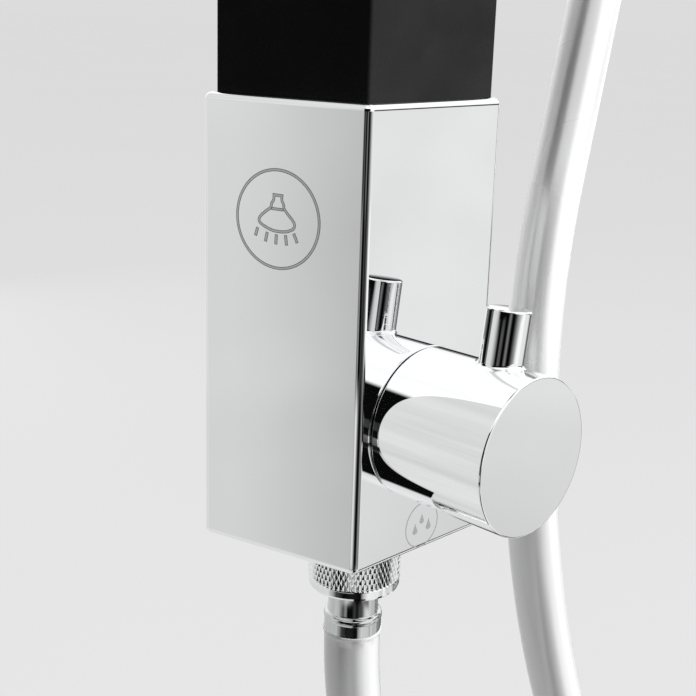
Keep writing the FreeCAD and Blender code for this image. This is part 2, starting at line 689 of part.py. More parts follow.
def make_cartridge_shell():
    """The plastic cup that holds the discs, with the spindle's bearing and seal grooves."""
    outer = cylinder(CAVITY_RADIUS - RUNNING_FIT, SHELL_FRONT - DISC_START, stack(DISC_START), FRONT)
    cup = cylinder(DISC_RADIUS + RUNNING_FIT, SHELL_WALL_START - DISC_START, stack(DISC_START), FRONT)
    bearing = cylinder(SPINDLE_RADIUS + RUNNING_FIT, SHELL_FRONT, stack(DISC_START), FRONT)
    shell = outer.cut([cup, bearing])
    for depth in o_ring_depths():
        shell = shell.cut(cylinder(SPINDLE_RADIUS + O_RING_DEPTH, O_RING_WIDTH, stack(depth), FRONT))
    start = 90 - LEVER_TURN + KNOB_TRAVEL + STOP_LUG_ANGLE / 2 + STOP_PLAY
    span = 360 - KNOB_TRAVEL - STOP_LUG_ANGLE - 2 * STOP_PLAY
    stop = arc_segment(CAVITY_RADIUS - RUNNING_FIT, SPINDLE_FLANGE_RADIUS + HOLE_FIT,
                       SHELL_WALL_START - FLANGE_START, FLANGE_START, start, span)
    return shell.fuse(stop).removeSplitter()


def make_spindle_seals():
    """Two square-section seals in the bearing's grooves."""
    inner = SPINDLE_RADIUS + RUNNING_FIT
    outer = SPINDLE_RADIUS + O_RING_DEPTH
    return group([ring(outer, inner, O_RING_WIDTH, stack(depth), FRONT) for depth in o_ring_depths()])


def make_gland_nut():
    """The slotted nut that holds the cartridge in the valve's neck."""
    nut = cylinder(CAVITY_RADIUS - THREAD_FIT, GLAND_THICKNESS, stack(SHELL_FRONT), FRONT)
    nut = nut.cut(cylinder(SPINDLE_RADIUS + HOLE_FIT, GLAND_THICKNESS + 2, stack(SHELL_FRONT - 1), FRONT))
    face = stack(CAVITY_DEPTH)
    half = GLAND_SLOT / 2
    slot = block(face + V(-CAVITY_RADIUS, -1, -half), face + V(CAVITY_RADIUS, GLAND_SLOT, half))
    return nut.cut(slot)


# ---------------------------------------------------------------- control knob

def knob_point(from_face):
    """A point on the knob's axis, a distance in front of the housing."""
    return V(0, HOUSING_FRONT - from_face, KNOB_Z)


def make_knob():
    """The turned knob with its lever pin, hollow behind, bored for the spindle."""
    body = cylinder(KNOB_RADIUS, KNOB_LENGTH - KNOB_GAP, knob_point(KNOB_GAP), FRONT)
    lever = cylinder(LEVER_RADIUS, LEVER_TOP, knob_point(LEVER_FROM_FACE), UP)
    lever = lever.makeFillet(KNOB_EDGE, level_edges(lever, KNOB_Z + LEVER_TOP))
    knob = body.fuse(lever)
    seam = [edge for edge in knob.Edges
            if edge.BoundBox.ZMin > KNOB_Z + KNOB_RADIUS * 0.8 and edge.BoundBox.ZMax < KNOB_Z + KNOB_RADIUS + 0.01
            and edge.BoundBox.YLength < 2 * LEVER_RADIUS + 0.1 and edge.BoundBox.XLength < 2 * LEVER_RADIUS + 0.1]
    knob = knob.makeFillet(LEVER_FILLET, seam)
    rims = [edge for edge in knob.Edges
            if edge.BoundBox.YLength < 1e-4 and edge.BoundBox.XLength > 2 * KNOB_RADIUS - 0.1]
    knob = knob.makeFillet(KNOB_EDGE, rims)
    cavity = cylinder(KNOB_CAVITY_RADIUS, KNOB_CAVITY_DEPTH, knob_point(0), FRONT)
    bore = spindle_bar(SPINDLE_RADIUS + RUNNING_FIT, SPINDLE_FLAT + RUNNING_FIT,
                       KNOB_BORE_DEPTH, CAVITY_DEPTH - NECK_REACH)
    hole = cylinder(SCREW_RADIUS + THREAD_FIT, KNOB_RADIUS + 1, knob_point(KNOB_SCREW_FROM_FACE), DOWN)
    return turn_with_knob(knob.cut([cavity, bore, hole]))


def make_knob_screw():
    """The headless screw under the knob that grips the spindle."""
    start = knob_point(KNOB_SCREW_FROM_FACE) + DOWN * (SPINDLE_RADIUS + RUNNING_FIT + SET_SCREW_LENGTH)
    return turn_with_knob(set_screw(start, UP, SET_SCREW_LENGTH))


# ---------------------------------------------------------------- inlet and outlet

def make_inlet_nipple():
    """The threaded nipple from the wall's connection into the back of the valve."""
    start = SLEEVE_INNER_BACK - INLET_DEPTH + 0.3
    length = INLET_REACH - start
    pipe = ring(HALF_INCH_RADIUS, INLET_BORE, length, V(0, start, KNOB_Z), V(0, 1, 0))
    collar_start = HOUSING_BACK + HOLE_FIT
    collar = hexagon(INLET_HEX, INLET_HEX_LENGTH, V(0, collar_start, KNOB_Z), V(0, 1, 0))
    collar = collar.cut(cylinder(INLET_BORE, INLET_HEX_LENGTH + 2, V(0, collar_start - 1, KNOB_Z), V(0, 1, 0)))
    return pipe.fuse(collar).removeSplitter()


def make_inlet_filter():
    """The cup-shaped strainer in the mouth of the inlet nipple."""
    outer = cylinder(INLET_BORE - RUNNING_FIT, FILTER_LENGTH, V(0, INLET_REACH, KNOB_Z), FRONT)
    hollow = cylinder(INLET_BORE - RUNNING_FIT - FILTER_WALL, FILTER_LENGTH - FILTER_WALL,
                      V(0, INLET_REACH, KNOB_Z), FRONT)
    return outer.cut(hollow)


def make_outlet_nipple():
    """The chrome nipple under the housing: screwed into the valve, with the hose's thread below."""
    top = BASE_TOP + 10
    shank = cylinder(THREE_EIGHTH_RADIUS, top - BASE_BOTTOM, V(0, AXIS_Y, BASE_BOTTOM), UP)
    collar = cylinder(OUTLET_COLLAR_RADIUS, OUTLET_COLLAR, V(0, AXIS_Y, BASE_BOTTOM), DOWN)
    thread = cylinder(HALF_INCH_RADIUS, OUTLET_THREAD, V(0, AXIS_Y, BASE_BOTTOM - OUTLET_COLLAR), DOWN)
    nipple = shank.fuse([collar, thread])
    bore = cylinder(OUTLET_BORE, top - OUTLET_END + 2, V(0, AXIS_Y, OUTLET_END - 1), UP)
    pocket = cylinder(CHECK_VALVE_RADIUS + RUNNING_FIT, CHECK_VALVE_LENGTH, V(0, AXIS_Y, OUTLET_END), UP)
    return nipple.cut([bore, pocket])


def make_check_valve():
    """The non-return cartridge in the nipple's pocket, with its poppet seat open in the middle."""
    outline = [(2.2, 0), (CHECK_VALVE_RADIUS, 0), (CHECK_VALVE_RADIUS, CHECK_VALVE_LENGTH - 0.2),
               (4.4, CHECK_VALVE_LENGTH - 0.2), (4.4, 4.0), (2.2, 2.0)]
    return revolve(outline, V(0, AXIS_Y, OUTLET_END + 0.1), UP)


def make_hose_nut():
    """The hose's round union nut, with its plain rim below the grip."""
    bottom = NUT_FLOOR_TOP - HOSE_NUT_FLOOR
    outline = [(TAIL_NECK_RADIUS + HOLE_FIT, bottom), (HOSE_NUT_RADIUS - HOSE_NUT_CHAMFER, bottom),
               (HOSE_NUT_RADIUS, bottom + HOSE_NUT_CHAMFER), (HOSE_NUT_RADIUS, NUT_TOP - HOSE_NUT_CHAMFER),
               (HOSE_NUT_RADIUS - HOSE_NUT_CHAMFER, NUT_TOP), (HALF_INCH_RADIUS + THREAD_FIT, NUT_TOP),
               (HALF_INCH_RADIUS + THREAD_FIT, NUT_FLOOR_TOP), (TAIL_NECK_RADIUS + HOLE_FIT, NUT_FLOOR_TOP)]
    return revolve(outline, V(0, AXIS_Y, 0), UP)


def washer(base, axis):
    """A flat hose washer."""
    return ring(TAIL_COLLAR_RADIUS, TAIL_BORE, WASHER_THICKNESS, base, axis)


def tail_outline(neck):
    """A hose tail: collar, neck and crimped ferrule, measured down from the collar's top."""
    ferrule_top = TAIL_COLLAR + neck
    groove = ferrule_top + FERRULE_LENGTH * 0.25
    end = ferrule_top + FERRULE_LENGTH
    return [(TAIL_BORE, 0), (TAIL_COLLAR_RADIUS, 0), (TAIL_COLLAR_RADIUS, TAIL_COLLAR), (TAIL_NECK_RADIUS, TAIL_COLLAR),
            (TAIL_NECK_RADIUS, ferrule_top), (FERRULE_RADIUS, ferrule_top), (FERRULE_RADIUS, groove),
            (FERRULE_RADIUS - FERRULE_GROOVE, groove + 0.6), (FERRULE_RADIUS, groove + 1.2), (FERRULE_RADIUS, end),
            (TAIL_BORE, end)]


def make_hose_tail():
    """The swivelling tail inside the union nut, crimped on the hose."""
    return revolve(tail_outline(HOSE_NUT_FLOOR + TAIL_NECK), V(0, AXIS_Y, TAIL_TOP), DOWN)


# ---------------------------------------------------------------- riser and overhead arm

def make_riser_nut():
    """The compression nut on the valve's upper nose."""
    bottom = VALVE_TOP - RISER_NOSE
    nut = hexagon(RISER_NUT_HEX, RISER_NOSE + RISER_NUT_CAP, V(0, AXIS_Y, bottom), UP)
    nut = nut.cut(cylinder(RISER_NOSE_RADIUS + THREAD_FIT, RISER_NOSE, V(0, AXIS_Y, bottom), UP))
    return nut.cut(cylinder(RISER_RADIUS + RUNNING_FIT, RISER_NOSE + RISER_NUT_CAP + 2, V(0, AXIS_Y, bottom - 1), UP))


def make_riser_pipe():
    """The straight water pipe inside the column."""
    bottom = VALVE_TOP - RISER_SOCKET
    top = ARM_Z - ELBOW_RADIUS
    return ring(RISER_RADIUS, RISER_RADIUS - RISER_WALL, top - bottom, V(0, AXIS_Y, bottom), UP)


def make_riser_clips():
    """Saddle clips that hold the riser off the column's back wall."""
    clips = []
    gap = (PROFILE_TOP - PROFILE_BOTTOM) / (CLIP_COUNT + 1)
    for i in range(CLIP_COUNT):
        height = PROFILE_BOTTOM + gap * (i + 1)
        body = block(V(-CLIP_WIDTH / 2, AXIS_Y - RISER_RADIUS / 2, height - CLIP_HEIGHT / 2),
                     V(CLIP_WIDTH / 2, PROFILE_BACK - PROFILE_WALL, height + CLIP_HEIGHT / 2))
        clips.append(body.cut(cylinder(RISER_RADIUS + RUNNING_FIT, CLIP_HEIGHT + 2,
                                       V(0, AXIS_Y, height - CLIP_HEIGHT / 2 - 1), UP)))
    return group(clips)


def make_arm_elbow():
    """The brass elbow from the riser through the column's front wall."""
    inner_front = PROFILE_FRONT + PROFILE_WALL
    low = ARM_Z - ELBOW_RADIUS - RISER_SOCKET
    upright = cylinder(ELBOW_RADIUS, ARM_Z + ELBOW_RADIUS + ELBOW_CROWN - low, V(0, AXIS_Y, low), UP)
    level = cylinder(ELBOW_THREAD_RADIUS, AXIS_Y - inner_front, V(0, AXIS_Y, ARM_Z), FRONT)
    collar = cylinder(ELBOW_COLLAR_RADIUS, ELBOW_COLLAR, V(0, inner_front, ARM_Z), V(0, 1, 0))
    thread = cylinder(ELBOW_THREAD_RADIUS, PROFILE_WALL + ELBOW_THREAD, V(0, inner_front, ARM_Z), FRONT)
    elbow = upright.fuse([level, collar, thread]).removeSplitter()
    socket = cylinder(RISER_RADIUS + RUNNING_FIT, RISER_SOCKET, V(0, AXIS_Y, low), UP)
    rise = cylinder(WATERWAY_RADIUS, ARM_Z - low, V(0, AXIS_Y, low), UP)
    run_start = V(0, AXIS_Y + ELBOW_RUN_RADIUS, ARM_Z)
    run = cylinder(ELBOW_RUN_RADIUS, run_start.y - PROFILE_FRONT + ELBOW_THREAD + 1, run_start, FRONT)
    return elbow.cut([socket, rise, run])


def make_arm_nut():
    """The flat nut that clamps the elbow to the column's front wall."""
    start = V(0, PROFILE_FRONT, ARM_Z)
    nut = hexagon(ARM_NUT_HEX, ARM_NUT_THICKNESS, start, FRONT)
    return nut.cut(cylinder(ELBOW_THREAD_RADIUS + THREAD_FIT, ARM_NUT_THICKNESS + 2, start + V(0, 1, 0), FRONT))


def make_arm_rosette():
    """The round cover over the nut at the arm's root."""
    hole = ARM_RADIUS + HOLE_FIT
    outline = [(ROSETTE_RADIUS - ROSETTE_WALL, 0), (ROSETTE_RADIUS, 0), (ROSETTE_RADIUS, ROSETTE_HEIGHT - 1.5),
               (ROSETTE_RADIUS - 1.5, ROSETTE_HEIGHT), (hole, ROSETTE_HEIGHT), (hole, ROSETTE_HEIGHT - ROSETTE_WALL),
               (ROSETTE_RADIUS - ROSETTE_WALL - 0.8, ROSETTE_HEIGHT - ROSETTE_WALL),
               (ROSETTE_RADIUS - ROSETTE_WALL, ROSETTE_HEIGHT - ROSETTE_WALL - 0.8)]
    return revolve(outline, V(0, PROFILE_FRONT, ARM_Z), FRONT)


def arm_bar(radius):
    """A round bar along the arm: straight out, a quarter bend, then straight down."""
    start = PROFILE_FRONT - ARM_NUT_THICKNESS - HOLE_FIT
    bend_start = V(0, ARM_END_Y + ARM_BEND, ARM_Z)
    straight = cylinder(radius, start - bend_start.y, V(0, start, ARM_Z), FRONT)
    circle = Part.Face(Part.Wire(Part.Circle(bend_start, FRONT, radius).toShape()))
    pivot = bend_start + DOWN * ARM_BEND
    bend = circle.revolve(pivot, V(1, 0, 0), 90)
    drop = cylinder(radius, ARM_DROP, V(0, ARM_END_Y, ARM_Z - ARM_BEND), DOWN)
    return straight.fuse([bend, drop])


def make_overhead_arm():
    """The bent arm tube, tapped at its root and bored for the ball nipple at its end."""
    arm = arm_bar(ARM_RADIUS).cut(arm_bar(ARM_BORE))
    root = V(0, PROFILE_FRONT, ARM_Z)
    arm = arm.cut(cylinder(ELBOW_THREAD_RADIUS + THREAD_FIT, ELBOW_THREAD + 2, root, FRONT))
    arm = arm.cut(cylinder(ELBOW_THREAD_RADIUS + THREAD_FIT, ARM_SOCKET + 1, V(0, ARM_END_Y, ARM_END_Z - 1), UP))
    return arm


def ball_centre():
    """The centre of the overhead shower's ball joint."""
    return V(0, ARM_END_Y, BALL_Z)


def make_ball_nipple():
    """The nipple in the arm's end, with a hexagon, a neck and the ball."""
    end = V(0, ARM_END_Y, ARM_END_Z)
    shank = cylinder(ELBOW_THREAD_RADIUS, ARM_SOCKET - 1, end, UP)
    nut = hexagon(BALL_HEX, BALL_HEX_HEIGHT, end, DOWN)
    neck = cylinder(BALL_NECK_RADIUS, BALL_DROP, end + DOWN * BALL_HEX_HEIGHT, DOWN)
    ball = Part.makeSphere(BALL_RADIUS, ball_centre())
    nipple = shank.fuse([nut, neck, ball])
    return nipple.cut(cylinder(BALL_BORE, 60, ball_centre() + DOWN * 30, UP))


SEAT_OUTER = BALL_RADIUS + RUNNING_FIT + SEAT_WALL
SOCKET_RADIUS = SEAT_OUTER + RUNNING_FIT


def make_ball_seat():
    """The plastic seat ring between the ball and its socket, round on both sides."""
    shell = Part.makeSphere(SEAT_OUTER, ball_centre())
    shell = shell.cut(Part.makeSphere(BALL_RADIUS + RUNNING_FIT, ball_centre()))
    rise = SEAT_OUTER * math.sin(math.radians(SEAT_HALF_ANGLE))
    band = cylinder(SEAT_OUTER + 1, 2 * rise, ball_centre() + DOWN * rise, UP)
    return shell.common(band)


def make_ball_nut():
    """The nut that closes the socket over the ball, with a mouth that lets the neck tilt."""
    tilt = math.radians(HEAD_TILT)
    mouth = BALL_NECK_RADIUS / math.cos(tilt) + NUT_MOUTH_GAP
    spread = BALL_NUT_ABOVE + 1
    outline = [(0, -BALL_NUT_BELOW), (BALL_NUT_RADIUS - 1, -BALL_NUT_BELOW), (BALL_NUT_RADIUS, -BALL_NUT_BELOW + 1),
               (BALL_NUT_RADIUS, BALL_NUT_ABOVE - 4), (BALL_NUT_RADIUS - 3.5, BALL_NUT_ABOVE), (0, BALL_NUT_ABOVE)]
    nut = revolve(outline, ball_centre(), UP)
    throat = revolve([(0, 0), (mouth, 0), (mouth + spread * math.tan(tilt), spread), (0, spread)], ball_centre(), UP)
    skirt = cylinder(HUB_RADIUS + THREAD_FIT, BALL_NUT_BELOW + 1, ball_centre() + DOWN * (BALL_NUT_BELOW + 1), UP)
    return nut.cut([throat, skirt, Part.makeSphere(SOCKET_RADIUS, ball_centre())])


def make_head_shell():
    """The overhead shower's back shell with the hub that carries the ball."""
    top = -HEAD_HUB_DROP
    bottom = top - HEAD_THICKNESS
    inner_top = top - HEAD_WALL
    outline = [(0, 0), (HUB_RADIUS, 0), (HUB_RADIUS, -BALL_NUT_BELOW), (HUB_RADIUS + 1.5, -BALL_NUT_BELOW - 0.1),
               (HUB_RADIUS + 3.5, top + 3.5), (HUB_RADIUS + 9, top + 1.2), (HEAD_RADIUS - 22, top),
               (HEAD_RADIUS - 3, top - 1.5), (HEAD_RADIUS, top - 4), (HEAD_RADIUS, bottom),
               (HEAD_RADIUS - HEAD_WALL, bottom), (HEAD_RADIUS - HEAD_WALL, inner_top - 3),
               (HEAD_RADIUS - HEAD_WALL - 3, inner_top - 1), (0, inner_top - 1)]
    shell = revolve(outline, ball_centre(), UP)
    waterway = cylinder(BALL_BORE + 1, 40, ball_centre(), DOWN)
    return shell.cut([Part.makeSphere(SOCKET_RADIUS, ball_centre()), waterway])


def ring_places(rings, pitch):
    """Nozzle places on a round face: one in the middle and rings round it."""
    places = [V(0, 0, 0)]
    for number in range(1, rings + 1):
        count = NOZZLES_PER_RING * number
        for i in range(count):
            angle = 2 * math.pi * i / count
            places.append(V(number * pitch * math.cos(angle), number * pitch * math.sin(angle), 0))
    return places


def nozzle():
    """One soft nozzle, seated in the face and standing proud along +Z."""
    body = cylinder(NOZZLE_RADIUS, FACE_THICKNESS, V(0, 0, -FACE_THICKNESS), UP)
    tip = Part.makeCone(NOZZLE_RADIUS, NOZZLE_TIP_RADIUS, NOZZLE_PROUD, V(0, 0, 0), UP)
    return body.fuse(tip)


def perforate(face, places):
    """Pierce a round face, built with its outside at height 0, for the nozzles."""
    holes = [cylinder(NOZZLE_RADIUS + THREAD_FIT, 20, place + DOWN * 10, UP) for place in places]
    return face.cut(holes)


def head_face_base():
    """The middle of the overhead shower's outer face."""
    return ball_centre() + DOWN * (HEAD_HUB_DROP + HEAD_THICKNESS)


def make_head_face():
    """The pierced face plate in the overhead shower's rim."""
    plate = cylinder(HEAD_RADIUS - HEAD_WALL - RUNNING_FIT, FACE_THICKNESS, V(0, 0, -FACE_THICKNESS), UP)
    plate = perforate(plate, ring_places(HEAD_NOZZLE_RINGS, HEAD_NOZZLE_PITCH))
    return stand(plate, head_face_base(), DOWN)


def make_head_nozzles():
    """The overhead shower's soft nozzles."""
    return stand(nozzle_group(HEAD_NOZZLE_RINGS, HEAD_NOZZLE_PITCH), head_face_base(), DOWN)


def nozzle_group(rings, pitch):
    """All the nozzles of a face, as separate solids."""
    nozzles = []
    for place in ring_places(rings, pitch):
        copy = nozzle()
        copy.translate(place)
        nozzles.append(copy)
    return group(nozzles)


# ---------------------------------------------------------------- hand shower holder

def holder_centre():
    """The centre of the holder's cup."""
    foot, normal = holder_frame()
    return foot + normal * HOLDER_REACH


def handset_axis():
    """The direction in which the hand shower leans and lifts out."""
    lean = math.radians(HOLDER_LEAN)
    return V(0, -math.sin(lean), math.cos(lean))


def lean(shape):
    """Place a shape built upright round the origin in the leaning holder."""
    moved = shape.copy()
    tilt = FreeCAD.Placement(holder_centre(), FreeCAD.Rotation(RIGHT, HOLDER_LEAN))
    moved.Placement = tilt.multiply(moved.Placement)
    return moved


def flank_block(width, height, start, end):
    """A block on the column's right flank, from start to end along the flank's normal."""
    plate = block(V(-width / 2, -height / 2, start), V(width / 2, height / 2, end))
    foot, normal = holder_frame()
    along = V(SIN_FLANK, COS_FLANK, 0)
    plate.Placement = FreeCAD.Placement(foot, FreeCAD.Rotation(along, UP, normal, "ZXY"))
    return plate


def make_holder_base():
    """The holder's foot on the column's flank, with a socket for the cup's stub."""
    foot, normal = holder_frame()
    base = flank_block(HOLDER_BASE_WIDTH, HOLDER_BASE_HEIGHT, 0, HOLDER_BASE_THICKNESS)
    base = base.makeFillet(3.0, [edge for edge in base.Edges if is_along(edge, normal)])
    socket = cylinder(HOLDER_STUB_RADIUS + THREAD_FIT, HOLDER_SOCKET + 1,
                      foot + normal * (HOLDER_BASE_THICKNESS - HOLDER_SOCKET), normal)
    base = base.cut(socket)
    for place in holder_screw_places():
        base = base.cut(countersink(place, normal * -1, HOLDER_BASE_THICKNESS + 1))
    return base


def is_along(edge, direction):
    """Whether a straight edge runs along a direction."""
    ends = edge.Vertexes
    if len(ends) != 2:
        return False
    run = ends[1].Point - ends[0].Point
    return run.cross(direction).Length < 1e-4 * max(run.Length, 1e-6)


def make_holder_screws():
    """Two countersunk screws through the holder's foot into the column."""
    foot, normal = holder_frame()
    return group([countersunk_screw(place, normal * -1, HOLDER_SCREW_LENGTH) for place in holder_screw_places()])


def cup_slot():
    """The gap that lets the hose pass into the cup, open away from the column."""
    half = CUP_SLOT / 2
    slot = block(V(0, -half, -CUP_HEIGHT), V(CUP_RADIUS + 5, half, CUP_HEIGHT))
    slot.rotate(V(0, 0, 0), UP, -FLANK_ANGLE)
    return slot


def cone_radius(height):
    """The hose cone's radius at a height above the cup's centre."""
    share = (height + CONE_BELOW) / (CONE_ABOVE + CONE_BELOW)
    return CONE_BOTTOM_RADIUS + share * (CONE_TOP_RADIUS - CONE_BOTTOM_RADIUS)


def cup_bore(clearance):
    """The tapered space that the hose cone rests in, with a clearance all round."""
    half = CUP_HEIGHT / 2
    low = cone_radius(-half) + clearance
    high = cone_radius(half) + clearance
    return revolve([(0, -half - 1), (low, -half - 1), (low, -half), (high, half), (high, half + 1), (0, half + 1)],
                   V(0, 0, 0), UP)


def make_holder_cup():
    """The slotted cup and the stub that carries it."""
    half = CUP_HEIGHT / 2
    cup = cylinder(CUP_RADIUS, CUP_HEIGHT, V(0, 0, -half), UP)
    cup = cup.makeFillet(1.0, level_edges(cup, -half) + level_edges(cup, half))
    bore = cylinder(LINER_RADIUS + THREAD_FIT, CUP_HEIGHT + 2, V(0, 0, -half - 1), UP)
    foot, normal = holder_frame()
    start = foot + normal * (HOLDER_BASE_THICKNESS - HOLDER_SOCKET)
    stub = cylinder(HOLDER_STUB_RADIUS, HOLDER_REACH - HOLDER_BASE_THICKNESS + HOLDER_SOCKET, start, normal)
    solid = lean(cup).fuse(stub)
    return solid.cut([lean(bore), lean(cup_slot())])


def make_cup_liner():
    """The plastic sleeve in the cup that the hose cone rests in."""
    half = CUP_HEIGHT / 2
    liner = cylinder(LINER_RADIUS, CUP_HEIGHT, V(0, 0, -half), UP)
    return lean(liner.cut([cup_bore(RUNNING_FIT), cup_slot()]))


# ---------------------------------------------------------------- hand shower

TAIL_SEAT = CONE_FLOOR + TAIL_COLLAR
SHANK_END = TAIL_SEAT + WASHER_THICKNESS
HOSE_END_HEIGHT = -CONE_BELOW - HOLE_FIT - FERRULE_LENGTH


def make_cone_nut():
    """The conical union nut at the hose's upper end, which rests in the cup."""
    outline = [(TAIL_NECK_RADIUS + HOLE_FIT, -CONE_BELOW), (CONE_BOTTOM_RADIUS, -CONE_BELOW),
               (CONE_TOP_RADIUS, CONE_ABOVE), (HALF_INCH_RADIUS + THREAD_FIT, CONE_ABOVE),
               (HALF_INCH_RADIUS + THREAD_FIT, CONE_FLOOR), (TAIL_NECK_RADIUS + HOLE_FIT, CONE_FLOOR)]
    return lean(revolve(outline, V(0, 0, 0), UP))


def make_handset_tail():
    """The hose tail inside the conical nut."""
    neck = TAIL_SEAT - TAIL_COLLAR + CONE_BELOW + HOLE_FIT
    return lean(revolve(tail_outline(neck), V(0, 0, TAIL_SEAT), DOWN))


def make_handset_washer():
    """The washer between the hand shower's shank and the hose tail."""
    return lean(washer(V(0, 0, TAIL_SEAT), UP))


def spray_place():
    """Placement of the spray head: local +Z is the direction that it sprays in."""
    tilt = math.radians(SPRAY_TILT)
    spray = V(0, -math.cos(tilt), -math.sin(tilt))
    centre = V(0, -SPRAY_THICKNESS * 0.25, CONE_ABOVE + HANDLE_LENGTH + SPRAY_RISE)
    return centre, spray


def handle_solid():
    """The turned handle, slightly fuller in the grip than at its ends."""
    bottom = CONE_ABOVE
    top = bottom + HANDLE_LENGTH
    curve = Part.BSplineCurve()
    curve.interpolate([V(HANDLE_ROOT_RADIUS, 0, bottom), V(HANDLE_GRIP_RADIUS, 0, bottom + HANDLE_LENGTH * 0.35),
                       V(HANDLE_GRIP_RADIUS - 0.8, 0, bottom + HANDLE_LENGTH * 0.8), V(HANDLE_ROOT_RADIUS, 0, top + 20)])
    side = curve.toShape()
    ends = [Part.makeLine(V(HANDLE_ROOT_RADIUS, 0, top + 20), V(0, 0, top + 20)),
            Part.makeLine(V(0, 0, top + 20), V(0, 0, bottom)),
            Part.makeLine(V(0, 0, bottom), V(HANDLE_ROOT_RADIUS, 0, bottom))]
    face = Part.Face(Part.Wire([side] + ends))
    return face.revolve(V(0, 0, 0), UP, 360)


def make_handset_shell():
    """The hand shower's body: threaded shank, handle and round spray head, with its waterway."""
    centre, spray = spray_place()
    deep = SPRAY_THICKNESS
    head = [(0, -deep), (SPRAY_RADIUS * 0.4, -deep * 0.95), (SPRAY_RADIUS * 0.75, -deep * 0.72),
            (SPRAY_RADIUS - 2, -deep * 0.35), (SPRAY_RADIUS, -deep * 0.2), (SPRAY_RADIUS, 0), (0, 0)]
    disc = revolve(head, centre, spray)
    shank = cylinder(HALF_INCH_RADIUS, CONE_ABOVE - SHANK_END, V(0, 0, SHANK_END), UP)
    body = handle_solid().fuse([shank, disc])
    bore = cylinder(HANDLE_BORE, CONE_ABOVE + HANDLE_LENGTH + SPRAY_RISE * 0.6 - SHANK_END, V(0, 0, SHANK_END), UP)
    recess = cylinder(SPRAY_FACE_RADIUS, SPRAY_FACE_THICKNESS, centre, spray * -1)
    chamber = cylinder(SPRAY_FACE_RADIUS - 3, SPRAY_FACE_THICKNESS + SPRAY_CHAMBER, centre, spray * -1)
    return lean(body.cut([bore, recess, chamber]))


def make_handset_face():
    """The pierced face plate of the hand shower."""
    centre, spray = spray_place()
    plate = cylinder(SPRAY_FACE_RADIUS - RUNNING_FIT, SPRAY_FACE_THICKNESS, V(0, 0, -SPRAY_FACE_THICKNESS), UP)
    plate = perforate(plate, ring_places(SPRAY_NOZZLE_RINGS, SPRAY_NOZZLE_PITCH))
    return lean(stand(plate, centre, spray))


def make_handset_nozzles():
    """The hand shower's soft nozzles."""
    centre, spray = spray_place()
    return lean(stand(nozzle_group(SPRAY_NOZZLE_RINGS, SPRAY_NOZZLE_PITCH), centre, spray))


# ---------------------------------------------------------------- hose

def hose_end():
    """Where the hose enters its upper ferrule, and the direction back along it."""
    return holder_centre() + handset_axis() * HOSE_END_HEIGHT


def hose_route():
    """The hose's points, chosen by hand: down, round in a loose loop and up beside the housing."""
    start = V(0, AXIS_Y, HOSE_START_Z)
    end = hose_end()
    first = V(0, AXIS_Y, HOSE_START_Z - HOSE_FIRST_RUN)
    return [start, first] + HOSE_LOOP + [end - handset_axis() * HOSE_LAST_RUN, end]


def make_hose(points):
    """The hose's tube: straight runs joined by the largest tangent arcs that they allow."""
    edges = []
    radii = []
    here = points[0]
    for before, corner, after in zip(points, points[1:], points[2:]):
        into = (corner - before).normalize()
        out = (after - corner).normalize()
        turn = into.getAngle(out)
        trim = 0.45 * min((corner - before).Length, (after - corner).Length)
        radii.append(trim / math.tan(turn / 2))
        first = corner - into * trim
        last = corner + out * trim
        middle = corner + (out - into).normalize() * (radii[-1] / math.cos(turn / 2) - radii[-1])
        edges.append(Part.LineSegment(here, first).toShape())
        edges.append(Part.Arc(first, middle, last).toShape())
        here = last
    edges.append(Part.LineSegment(here, points[-1]).toShape())
    path = Part.Wire(edges)
    circle = Part.Wire(Part.Circle(points[0], points[1] - points[0], HOSE_RADIUS).toShape())
    tube = path.makePipeShell([circle], True, False)
    expected = math.pi * HOSE_RADIUS ** 2 * path.Length
    print(f"hose: length {path.Length:.1f}, least radius {min(radii):.1f}, volume share {tube.Volume / expected:.4f}")
    print("hose radii:", " ".join(f"{radius:.0f}" for radius in radii))
    return tube


